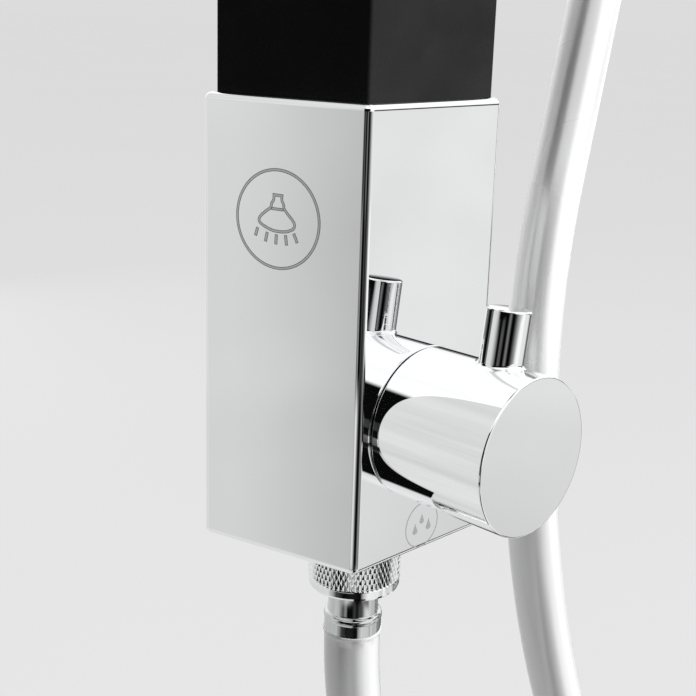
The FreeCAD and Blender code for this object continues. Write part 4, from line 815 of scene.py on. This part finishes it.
@dataclass
class HoseFittings:
    """The knurled union nut under the housing, the crimped hose tail and the sleeve's end in it.

    Attributes:
        section: the shared section.
        radius: the nut's radius over its knurl.
        rim: the radius of its plain rim.
        top: the nut's top edge.
        bottom: its lower edge.
        knurl_top: where the knurl begins.
        knurl_low: where the knurl ends above the plain rim.
        bore: the radius of the nut's hollow.
        seat: the hollow's lower end.
        depth: the knurl's depth.
        teeth: knurl teeth round the nut.
        columns: mesh columns in each tooth.
        rows: mesh rows down the knurl.
        fade_rows: rows over which the knurl rises from each end.
        neck: the tail's neck radius.
        waterway: the radius of the tail's bore.
        ferrule: the ferrule's radius.
        sleeve: the hose's radius.
        sleeve_wall: the hose's wall.
    """

    section: Section = SECTION
    radius: float = 12.2 * MM
    rim: float = 12.0 * MM
    top: float = -171.5 * MM
    bottom: float = -187.3 * MM
    knurl_top: float = -172.0 * MM
    knurl_low: float = -184.4 * MM
    bore: float = 10.6 * MM
    seat: float = -183 * MM
    depth: float = 0.36 * MM
    teeth: int = 60
    columns: int = 8
    rows: int = 68
    fade_rows: int = 3
    neck: float = 6.65 * MM
    waterway: float = 4.2 * MM
    ferrule: float = 7.8 * MM
    sleeve: float = 7.5 * MM
    sleeve_wall: float = 1.6 * MM

    def nut(self) -> Mesh:
        """The nut with its crossed knurl.

        Returns:
            The nut.
        """
        down = (self.knurl_top - self.knurl_low) / self.rows
        low, mouth = self.bottom, self.neck + 0.1 * MM
        outline = [(self.bore, self.top), (self.radius - 0.8 * MM, self.top)]
        outline += [(self.radius, self.knurl_top - down * row) for row in range(self.rows + 1)]
        outline += [(self.rim, self.knurl_low - 0.2 * MM), (self.rim, low + 1.1 * MM),
                    (self.rim - 0.2 * MM, low + 0.6 * MM), (self.rim - 0.65 * MM, low + 0.2 * MM),
                    (self.rim - 1.3 * MM, low), (mouth, low), (mouth, self.seat), (self.bore, self.seat)]
        mesh = turned(outline, steps=self.teeth * self.columns)
        knurl = {vert: round((self.knurl_top - vert.co.z) / down) for vert in mesh.verts
                 if abs(vert.co.xy.length - self.radius) < 1e-6}
        half = Matrix.Rotation(math.pi / (self.teeth * self.columns), 3, "Z")
        for vert, row in knurl.items():
            if row % 2:
                vert.co = half @ vert.co
        rings = [f for f in mesh.faces if all(vert in knurl for vert in f.verts)]
        bmesh.ops.triangulate(mesh, faces=rings, quad_method="SHORT_EDGE")
        for vert, row in knurl.items():
            around = math.atan2(vert.co.y, vert.co.x) / math.tau * self.teeth
            along = row / (2 * self.columns)
            ridge = min(1 - abs((around + side * along) % 1.0 * 2 - 1) for side in (-1, 1))
            fade = min(1.0, row / self.fade_rows, (self.rows - row) / self.fade_rows)
            vert.co.xy *= 1 - self.depth / self.radius * fade * (1 - ridge)
        bmesh.ops.translate(mesh, verts=mesh.verts, vec=(0, self.section.middle, 0))
        return mesh

    def lathe(self, outline: Outline, steps: int) -> Mesh:
        """Turn an outline in millimetres on the hose's axis.

        Args:
            outline: (radius, height) points.
            steps: how many segments go round.

        Returns:
            The turned bmesh.
        """
        mesh = turned([(r * MM, z * MM) for r, z in outline], steps)
        bmesh.ops.translate(mesh, verts=mesh.verts, vec=(0, self.section.middle, 0))
        return mesh

    def tail(self) -> Mesh:
        """The collar in the nut, the neck, the bead and the crimped ferrule.

        Returns:
            The tail.
        """
        neck, wide, bore = self.neck / MM, self.ferrule / MM, self.waterway / MM
        collar = [(bore, -180.4), (9.8, -180.4), (9.8, -182.9), (neck, -182.9), (neck, -194.3)]
        bead = [(neck + 0.08, -194.6), (neck + 0.3, -194.8), (wide - 0.45, -194.95), (wide - 0.15, -195.3),
                (wide, -195.8), (wide, -196.3), (wide - 0.08, -196.6), (wide - 0.22, -196.75)]
        ferrule = [(wide - 0.22, -196.9), (wide - 0.17, -200.2), (bore, -200.2)]
        return self.lathe(collar + bead + ferrule, steps=128)

    def collar(self) -> Mesh:
        """The sleeve's first millimetres: its flared lip on the ferrule and the run to the hose.

        Returns:
            The sleeve's end.
        """
        wide, bore = self.sleeve / MM, (self.sleeve - self.sleeve_wall) / MM
        lip = [(wide + 0.2, -199.9), (wide + 0.38, -200.05), (wide + 0.42, -200.4), (wide + 0.32, -200.8),
               (wide + 0.12, -201.15)]
        return self.lathe([(bore, -199.9), *lip, (wide, -201.6), (wide, -203.3), (bore, -203.3)], steps=112)

    def build(self) -> list[Object]:
        """Make the nut, the tail and the sleeve's end.

        Returns:
            The pieces on the hose.
        """
        return [
            as_piece(self.nut(), "knurled_nut", CHROME, "root", ["hose_nut"], smooth=20.0),
            # the tail's darker chrome colour is painted shade for the shaded wall that its neck reflects
            as_piece(self.tail(), "hose_ferrule", SATIN_CHROME_PAINTED_SHADE, "root", ["hose_tail"], smooth=35.0),
            as_piece(self.collar(), "sleeve_end", HOSE_SILVER, "root"),
        ]


@dataclass
class Pictograms:
    """The two etched signs: a shower head in a ring on the left flank, drops in a ring on the front.

    Attributes:
        section: the shared section.
        head_height: the shower head sign's middle above the housing's lower edge.
        head_along: its distance from the front edge along the flank.
        head_radius: its ring's radius, in millimetres.
        drops_height: the drops sign's middle above the lower edge.
        drops_right: how far it stands to the right of the middle.
        drops_radius: its ring's radius, in millimetres.
        line: the shower head sign's line, in millimetres.
        fine_line: the drops sign's line, in millimetres.
        ray: half the width of a ray of water, in millimetres.
        rim: the width of the line's dark edges, in millimetres.
        proud: how far the etching's film stands off the chrome.
    """

    section: Section = SECTION
    head_height: float = 82.6 * MM
    head_along: float = 23.4 * MM
    head_radius: float = 11.65
    drops_height: float = 6.45 * MM
    drops_right: float = 0.95 * MM
    drops_radius: float = 5.95
    line: float = 0.72
    fine_line: float = 0.28
    ray: float = 0.41
    rim: float = 0.17
    proud: float = 0.02 * MM

    def face(self, mesh: Mesh, outline: Outline) -> bmesh.types.BMFace:
        """Add a flat face.

        Args:
            mesh: the bmesh that gets it.
            outline: its corners, in millimetres.

        Returns:
            The face.
        """
        made = mesh.faces.new([mesh.verts.new((x * MM, y * MM, 0.0)) for x, y in outline])
        made.normal_update()
        made.material_index = 1
        return made

    def edged(self, mesh: Mesh, face: bmesh.types.BMFace, width: float, index: int) -> None:
        """Lay a line inside a face's edge.

        Args:
            mesh: the bmesh that holds the face.
            face: the face, which becomes smaller.
            width: the line's width, in millimetres.
            index: the line's material.
        """
        rim = bmesh.ops.inset_region(mesh, faces=[face], thickness=width * MM, use_boundary=True,
                                     use_even_offset=True)
        for part in rim["faces"]:
            part.material_index = index

    def ribbon(self, mesh: Mesh, outline: Outline, width: float) -> None:
        """Add the outline of a closed shape as a flat line with dark edges.

        Args:
            mesh: the bmesh that gets it.
            outline: the shape's outer points, in millimetres.
            width: the line's width, in millimetres.
        """
        face = self.face(mesh, outline)
        self.edged(mesh, face, self.rim, 0)
        self.edged(mesh, face, width - 2 * self.rim, 1)
        self.edged(mesh, face, self.rim, 0)
        bmesh.ops.delete(mesh, geom=[face], context="FACES_ONLY")

    def bar(self, mesh: Mesh, outline: Outline) -> None:
        """Add a filled bar with dark edges, its corners in millimetres."""
        self.edged(mesh, self.face(mesh, outline), self.rim, 0)

    def finish(self, mesh: Mesh, name: str, centre: Vector, along: Vector, normal: Vector) -> Object:
        """Set a sign on the housing.

        Args:
            mesh: the flat sign, its face towards +Z.
            name: the piece's name.
            centre: the sign's middle.
            along: the direction of its width.
            normal: the direction that it faces.

        Returns:
            The sign.
        """
        bmesh.ops.reverse_faces(mesh, faces=[f for f in mesh.faces if f.normal.z < 0])
        bmesh.ops.triangulate(mesh, faces=[f for f in mesh.faces if len(f.verts) > 4])
        place = Matrix.Translation(centre) @ Matrix((along, Axis.UP.vector, normal)).transposed().to_4x4()
        bmesh.ops.transform(mesh, matrix=place, verts=mesh.verts)
        sign = as_piece(mesh, name, ETCHED_EDGE, "root")
        sign.data.materials.append(ETCHED_MIDDLE.build())
        return sign

    def head_sign(self) -> Object:
        """The shower head in its ring.

        Returns:
            The sign on the left flank.
        """
        mesh = bmesh.new()
        self.ribbon(mesh, arc((0, 0), self.head_radius, 0, 360, 96), self.line)
        shape = [(-1.43, 5.93), (1.55, 5.88), (1.42, 4.5), (2.0, 3.75), (2.03, 2.83), (3.2, 1.6),
                 (4.35, 0.55), (5.0, -0.3), (5.1, -1.2), (4.55, -2.1), (2.8, -2.88), (1.0, -3.1),
                 (-1.0, -3.06), (-2.75, -2.65), (-4.4, -1.95), (-5.4, -1.25), (-5.55, -0.35), (-5.15, 0.45),
                 (-4.4, 1.15), (-3.25, 2.08), (-2.08, 2.82), (-2.1, 3.7), (-1.42, 4.47)]
        self.ribbon(mesh, rounded(shape, 0.45, segments=3, keep=(0, 1)), self.line)
        self.bar(mesh, [(-1.75, 2.72), (-1.75, 2.02), (1.6, 2.02), (1.6, 2.72)])
        rays = (((-5.5, -2.4), (-6.1, -4.4)), ((-2.8, -3.2), (-3.3, -5.45)), ((-0.25, -3.45), (-0.38, -5.8)),
                ((2.27, -3.35), (2.6, -5.7)), ((4.5, -2.7), (5.5, -4.8)))
        for start, end in (tuple(map(Vector, ray)) for ray in rays):
            side = (end - start).orthogonal().normalized() * self.ray
            self.bar(mesh, [tuple(p) for p in (start + side, start - side, end - side, end + side)])
        turn = math.radians(self.section.flank)
        along = Vector((math.sin(turn), -math.cos(turn), 0.0))
        normal = Vector((-math.cos(turn), -math.sin(turn), 0.0))
        centre = Vector((-self.section.front_width / 2, self.section.front, 0.0))
        centre += normal * self.proud - along * self.head_along
        centre.z = self.section.bottom + self.head_height
        return self.finish(mesh, "head_sign", centre, along, normal)

    def drops_sign(self) -> Object:
        """The three drops in their ring.

        Returns:
            The sign on the front.
        """
        mesh = bmesh.new()
        ring = self.face(mesh, arc((0, 0), self.drops_radius, 0, 360, 96))
        self.edged(mesh, ring, self.fine_line, 1)
        bmesh.ops.delete(mesh, geom=[ring], context="FACES_ONLY")
        drop = [(0.0, 2.1), (0.3, 1.1), (0.72, 0.3), (0.98, -0.25), (0.95, -0.7), (0.55, -1.08), (0.0, -1.2)]
        drop += [(-x, y) for x, y in reversed(drop[1:-1])]
        for right, up, size in ((-2.4, -0.99, 0.88), (-0.05, 1.26, 0.8), (2.5, -0.85, 0.91)):
            self.face(mesh, [(right + x * size, up + y * size) for x, y in drop])
        height = self.section.bottom + self.drops_height
        centre = Vector((self.drops_right, self.section.front - self.proud, height))
        return self.finish(mesh, "drops_sign", centre, Axis.RIGHT.vector, Axis.FRONT.vector)

    def build(self) -> None:
        """Make both signs."""
        self.head_sign()
        self.drops_sign()


@dataclass(frozen=True)
class Ring:
    """One elliptic section of a lofted handle, in millimetres.

    Attributes:
        height: its middle's height along the handle.
        back: how far its middle lies behind the handle's line.
        across: half its width.
        deep: half its depth.
    """

    height: float
    back: float
    across: float
    deep: float

    def between(self, before: "Ring", after: "Ring", last: "Ring", share: float) -> "Ring":
        """The section at a share of the way to the next one, on a smooth curve through four.

        Args:
            before: the section before this one.
            after: the next section.
            last: the section after that.
            share: 0 for this section, 1 for the next.

        Returns:
            The section there.
        """
        made = []
        for a, b, c, d in zip(*map(astuple, (before, self, after, last))):
            bend = 2 * a - 5 * b + 4 * c - d + share * (3 * (b - c) + d - a)
            made.append(b + 0.5 * share * (c - a + share * bend))
        return Ring(*made)


@dataclass
class HandShower:
    """The hand shower's body: a handle whose neck bends back into the round spray head.

    Attributes:
        cup: the holder's cup, where the hand shower's own origin lies.
        lean: how far it leans forward, in degrees.
        tilt: how far the spray face looks down from the handle's front, in degrees.
        centre: the middle of the spray face from the cup, in millimetres.
        head: the head's half section: (radius, distance in front of the spray face), in millimetres.
        shank: the sections of the short shank in the union nut.
        rings: the handle's sections.
        steps: how many sections each of them becomes.
    """

    cup: Vector = field(default_factory=lambda: Vector(ShowerHose.cup) * MM)
    lean: float = ShowerHose.lean
    tilt: float = 15.0
    centre: Place = (0.0, -3.75, 194.0)
    head: Outline = (
        (0, -15), (10, -14.9), (20, -14.3), (29, -13.1), (37, -11.0), (43.5, -8.1), (47.6, -5.1),
        (49.5, -2.8), (50, -1.5), (49.85, -0.6), (49.4, -0.1), (48.8, 0), (46.2, 0), (45.7, -0.15),
        (45.55, -0.6), (45.55, -2.6), (0, -2.6))
    shank: tuple[Ring, ...] = (
        Ring(2.6, 0, 10.3, 10.3), Ring(17.9, 0, 10.3, 10.3), Ring(18.1, 0, 10.8, 10.8),
        Ring(18.4, 0, 11.2, 11.2))
    rings: tuple[Ring, ...] = (
        Ring(18.9, 0, 11.4, 11.4), Ring(40, 0, 12.2, 12.2), Ring(67, 0, 12.6, 12.6),
        Ring(92, 0.1, 12.3, 12.2), Ring(108, 1.4, 12.0, 11.6), Ring(121, 4.6, 12.0, 11.0),
        Ring(132, 9.0, 12.3, 10.4), Ring(142, 13.7, 13.0, 9.6), Ring(150, 17.2, 13.8, 8.7),
        Ring(158, 19.2, 14.3, 8.2), Ring(166, 18.4, 13.8, 7.6), Ring(174, 14.6, 11.6, 6.4),
        Ring(181, 9.8, 7.5, 4.4), Ring(186, 7.0, 2.5, 1.5))
    steps: int = 4

    def sections(self) -> list[Ring]:
        """The shank's sections and the handle's, with those between them.

        Returns:
            The sections, from the union nut up.
        """
        made, count = list(self.shank), len(self.rings)
        for i, ring in enumerate(self.rings[:-1]):
            before, after, last = (self.rings[min(count - 1, max(0, i + k))] for k in (-1, 1, 2))
            made += [ring.between(before, after, last, step / self.steps) for step in range(self.steps)]
        return made + [self.rings[-1]]

    def handle(self) -> Mesh:
        """The handle, extruded from section to section.

        Returns:
            The handle from the cup, along its own line.
        """
        mesh = bmesh.new()
        bmesh.ops.create_circle(mesh, cap_ends=True, segments=72, radius=1.0)
        edges, here = list(mesh.edges), Matrix.Identity(4)
        path = self.sections()
        for i, ring in enumerate(path):
            last, following = path[max(0, i - 1)], path[min(len(path) - 1, i + 1)]
            turn = -math.atan2(following.back - last.back, following.height - last.height)
            place = Matrix.Translation(Vector((0, ring.back, ring.height)) * MM)
            place = place @ Matrix.Rotation(turn, 4, "X")
            place = place @ Matrix.Diagonal((ring.across * MM, ring.deep * MM, 1.0, 1.0))
            if i:
                grown = bmesh.ops.extrude_edge_only(mesh, edges=edges)["geom"]
                edges = [e for e in grown if isinstance(e, bmesh.types.BMEdge)
                         and all(vert in grown for vert in e.verts)]
            verts = list({vert for e in edges for vert in e.verts})
            bmesh.ops.transform(mesh, matrix=place @ here.inverted(), verts=verts)
            here = place
        bmesh.ops.contextual_create(mesh, geom=edges)
        bmesh.ops.recalc_face_normals(mesh, faces=mesh.faces)
        return mesh

    def build(self) -> Object:
        """Make the body.

        Returns:
            The hand shower's body.
        """
        mesh = self.handle()
        turn = math.radians(self.tilt)
        head = turned([(r * MM, h * MM) for r, h in self.head], steps=144, closed=False)
        join(mesh, stand(head, Vector(self.centre) * MM, Vector((0, -math.cos(turn), -math.sin(turn)))))
        place = Matrix.Translation(self.cup) @ Matrix.Rotation(math.radians(self.lean), 4, "X")
        bmesh.ops.transform(mesh, matrix=place, verts=mesh.verts)
        return as_piece(mesh, "hand_shower_body", CHROME, "handset", ["handset_shell"],
                        smooth=35.0)


def dress_nodes() -> None:
    """Give every CAD node the finish of its slot in the record."""
    slots = {part["node"]: part["material_slot"] for part in frame["record"]["subparts"]}
    for name, solid in frame["nodes"].items():
        solid.data.materials.clear()
        solid.data.materials.append(NODE_FINISH[slots[name]].build())


# ---- studio


@dataclass(frozen=True)
class Card:
    """A soft light panel.

    Attributes:
        name: its name.
        place: its middle.
        aim: the point that it faces.
        width: its width.
        height: its height.
        watts: its power.
    """

    name: str
    place: Place
    aim: Place
    width: float
    height: float
    watts: float

    def build(self) -> Object:
        """Hang the panel.

        Returns:
            The light.
        """
        data = bpy.data.lights.new(self.name, "AREA")
        data.shape = "RECTANGLE"
        data.size = self.width
        data.size_y = self.height
        data.energy = self.watts
        light = placed(self.name, data)
        light.location = self.place
        towards = Vector(self.aim) - Vector(self.place)
        light.rotation_euler = towards.to_track_quat("-Z", "Y").to_euler()
        light.visible_camera = light.visible_glossy = False
        return light


@dataclass(frozen=True)
class Band:
    """A belt of the surroundings, with its brightness round the horizon.

    Attributes:
        low: height where it starts to take over from the belt below it.
        high: height where it has taken over.
        stops: (azimuth in degrees from +X towards +Y, brightness) pairs.
    """

    low: float
    high: float
    stops: Outline


@dataclass
class Surround:
    """The soft surroundings: what mirrors see round the product, and a dim fill for matt surfaces.

    Attributes:
        bands: the belts, from the lowest upwards, their heights as the Z of a ray of length 1.
        fill: the fill's brightness round the horizon.
        plain: brightness of the backdrop beyond the floor.
        cloud: how far the belts are mottled.
        cloud_scale: how fine the mottling is.
    """

    bands: tuple[Band, ...] = (
        Band(-1.0, -1.0, (
            (0, 0.85), (11, 0.85), (16, 0.003), (42, 0.003), (47, 0.7), (110, 0.74), (150, 0.78),
            (165, 0.7), (222, 0.6), (230, 0.003), (276, 0.003), (282, 0.85), (320, 0.85), (324, 0.003),
            (334, 0.003), (338, 0.85))),
        Band(-0.56, -0.5, (
            (0, 0.12), (9, 0.3), (14, 0.3), (17, 0.003), (42, 0.003), (47, 0.75), (70, 0.72), (120, 0.66),
            (150, 0.72), (158, 0.7), (164, 0.5), (170, 0.4), (180, 0.06), (199, 0.003), (224, 0.01),
            (243, 0.003), (250, 0.5), (260, 0.85), (290, 0.85), (300, 0.6), (306, 0.95), (314, 0.8),
            (324, 0.7), (336, 0.7), (345, 0.3))),
        Band(-0.455, -0.435, (
            (0, 0.12), (8, 0.4), (28, 0.3), (31, 0.01), (42, 0.01), (46, 0.9), (70, 0.8), (120, 0.66),
            (150, 0.73), (158, 0.72), (164, 0.51), (180, 0.48), (189, 0.72), (200, 0.8), (208, 0.6),
            (218, 0.3), (227, 0.06), (236, 0.002), (248, 0.002), (258, 0.02), (268, 0.22), (276, 0.26),
            (283, 0.2), (292, 0.2), (300, 0.5), (306, 0.95), (314, 0.8), (324, 0.69), (338, 0.7),
            (344, 0.3), (350, 0.12))),
        Band(-0.33, -0.29, (
            (0, 0.12), (8, 0.4), (28, 0.35), (31, 0.005), (42, 0.005), (46, 0.95), (70, 0.86), (120, 0.7),
            (150, 0.76), (158, 0.75), (163, 0.57), (168, 0.4), (175, 0.24), (182, 0.1), (189, 0.3),
            (195, 0.3), (201, 0.003), (222, 0.003), (232, 0.06), (244, 0.003), (255, 0.08), (267, 0.1),
            (273, 0.4), (280, 0.8), (292, 1.0), (304, 1.05), (313, 0.82), (324, 0.76), (338, 0.76),
            (344, 0.3), (350, 0.12))),
        Band(-0.18, -0.14, (
            (0, 0.9), (27, 0.9), (31, 0.01), (41, 0.01), (45, 0.98), (70, 0.86), (100, 0.74), (120, 0.72),
            (150, 0.78), (158, 0.76), (164, 0.55), (176, 0.2), (183, 0.003), (190, 0.003), (196, 0.1),
            (203, 0.08), (209, 0.002), (219, 0.002), (225, 0.12), (229, 0.2), (233, 0.1), (239, 0.002),
            (250, 0.002), (258, 0.08), (268, 0.3), (276, 0.5), (293, 0.75), (306, 0.9), (316, 0.82),
            (332, 0.8), (336, 0.01), (342, 0.01), (344, 1.0))),
        Band(-0.02, 0.02, (
            (0, 1.15), (78, 1.15), (100, 0.74), (162, 0.72), (176, 0.003), (240, 0.003), (256, 1.0),
            (305, 1.1), (310, 0.003), (350, 0.003), (356, 1.15))),
        Band(0.12, 0.15, (
            (0, 1.2), (84, 1.2), (104, 0.76), (160, 0.76), (176, 0.003), (248, 0.003), (260, 1.0),
            (305, 1.1), (311, 0.3), (348, 0.3), (354, 1.15))),
        Band(0.2, 0.24, (
            (0, 1.2), (84, 1.2), (104, 0.76), (160, 0.76), (176, 0.003), (248, 0.003), (260, 1.1))),
        Band(0.57, 0.63, (
            (0, 1.2), (84, 1.2), (104, 0.76), (160, 0.76), (184, 1.25))),
    )
    fill: Outline = (
        (0, 0.5), (90, 0.4), (120, 0.12), (190, 0.06), (240, 0.1), (275, 0.5))
    plain: float = 0.715
    cloud: float = 0.08
    cloud_scale: float = 4.0

    def build(self) -> None:
        """Make the world's nodes: one brightness for mirrors, one for matt surfaces and a plain backdrop."""
        world = bpy.data.worlds.new("soft_surround")
        world.use_nodes = True
        bpy.context.scene.world = world
        tree = world.node_tree
        tree.nodes.clear()
        place = node(tree, "TexCoord").outputs["Generated"]
        ray = node(tree, "SeparateXYZ", Vector=place).outputs
        turn = reckon(tree, "ARCTAN2", ray["Y"], ray["X"])
        turn = reckon(tree, "ADD", reckon(tree, "DIVIDE", turn, math.tau), 1.0)
        share = reckon(tree, "FRACT", turn, 0.0)
        around = self.belt(tree, share, self.bands[0].stops)
        for band in self.bands[1:]:
            over = smooth_step(tree, ray["Z"], (band.low, band.high), (0.0, 1.0))
            mixed = node(tree, "Mix", Factor=over, A=around, B=self.belt(tree, share, band.stops))
            around = mixed.outputs["Result"]
        cloud = node(tree, "TexNoise", Vector=place, Scale=self.cloud_scale, Detail=3.0).outputs["Fac"]
        mottle = smooth_step(tree, cloud, (NOISE_LOW, NOISE_HIGH), (1 - self.cloud, 1 + self.cloud))
        mirrored = node(tree, "Background", Color=reckon(tree, "MULTIPLY", around, mottle))
        matt = node(tree, "Background", Color=self.belt(tree, share, self.fill))
        plain = node(tree, "Background", Color=(self.plain, self.plain, self.plain, 1.0))
        shown, seen = matt, node(tree, "LightPath").outputs
        for ray_kind, shader in (("Is Glossy Ray", mirrored), ("Is Camera Ray", plain)):
            mixed = node(tree, "MixShader", Fac=seen[ray_kind])
            for socket, source in zip(list(mixed.inputs)[1:], (shown, shader)):
                feed(tree, socket, source.outputs[0])
            shown = mixed
        node(tree, "OutputWorld", Surface=shown.outputs[0])

    def belt(self, tree: Tree, share: Socket, stops: Outline) -> Socket:
        """A brightness that changes round the horizon.

        Args:
            tree: the world's nodes.
            share: the azimuth as a share of a full turn.
            stops: (azimuth in degrees, brightness) pairs in order, from 0 on.

        Returns:
            The brightness.
        """
        made = node(tree, "FloatCurve", Value=share)
        top = max(value for _, value in stops)
        curve = made.mapping.curves[0]
        for azimuth, value in stops[1:]:
            curve.points.new(azimuth / 360, value / top)
        start = stops[0][1] / top
        curve.points[0].location, curve.points[-1].location = (0.0, start), (1.0, start)
        for point in curve.points:
            point.handle_type = "VECTOR"
        made.mapping.update()
        return reckon(tree, "MULTIPLY", made.outputs["Value"], top)


@dataclass
class Studio:
    """The plain floor, the surroundings and the light panels.

    Attributes:
        floor_height: the floor's height, below the hose's loop.
        floor_size: the floor's width.
        floor_glow: how bright the floor is by itself, so that it meets the backdrop without a line.
        cards: the light panels.
        surround: the surroundings.
    """

    floor_height: float = -0.62
    floor_size: float = 90.0
    floor_glow: float = 0.68
    cards: list[Card] = field(default_factory=lambda: [
        Card("key_panel", (1.0, -2.0, 0.7), (0.0, 0.0, -0.1), 1.4, 1.8, 95.0),
        Card("back_panel", (0.1, 2.0, 0.3), (0.0, 0.0, 0.0), 1.6, 1.8, 24.0),
        Card("top_panel", (0.3, -0.4, 2.8), (0.0, 0.0, 0.3), 1.6, 1.6, 14.0),
    ])
    surround: Surround = field(default_factory=Surround)

    def build(self) -> None:
        """Make the floor, the world and the lights."""
        mesh = bmesh.new()
        bmesh.ops.create_grid(mesh, x_segments=8, y_segments=8, size=self.floor_size / 2)
        bmesh.ops.translate(mesh, verts=mesh.verts, vec=(0, 0, self.floor_height))
        data = bpy.data.meshes.new("pale_floor")
        mesh.to_mesh(data)
        mesh.free()
        paint = FLOOR_PAINT.build()
        shader = paint.node_tree.nodes["Principled BSDF"]
        shader.inputs["Emission Color"].default_value = (1.0, 1.0, 1.0, 1.0)
        shader.inputs["Emission Strength"].default_value = self.floor_glow
        data.materials.append(paint)
        floor = placed("pale_floor", data)
        floor.visible_glossy = floor.visible_diffuse = False
        self.surround.build()
        for card in self.cards:
            card.build()


def main() -> None:
    """Build the camera, the hose, every sub-assembly and the studio, and note the sizes."""
    logging.basicConfig(level=logging.INFO, format="%(name)s: %(message)s")
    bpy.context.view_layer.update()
    PhotoCamera().build()
    dress_nodes()
    fittings = HoseFittings().build()
    ShowerHose().build(fittings)
    Housing().build()
    ControlKnob().build()
    Pictograms().build()
    HandShower().build()
    Studio().build()
    bpy.context.scene.view_settings.view_transform = "Standard"


if __name__ == "__main__":
    main()
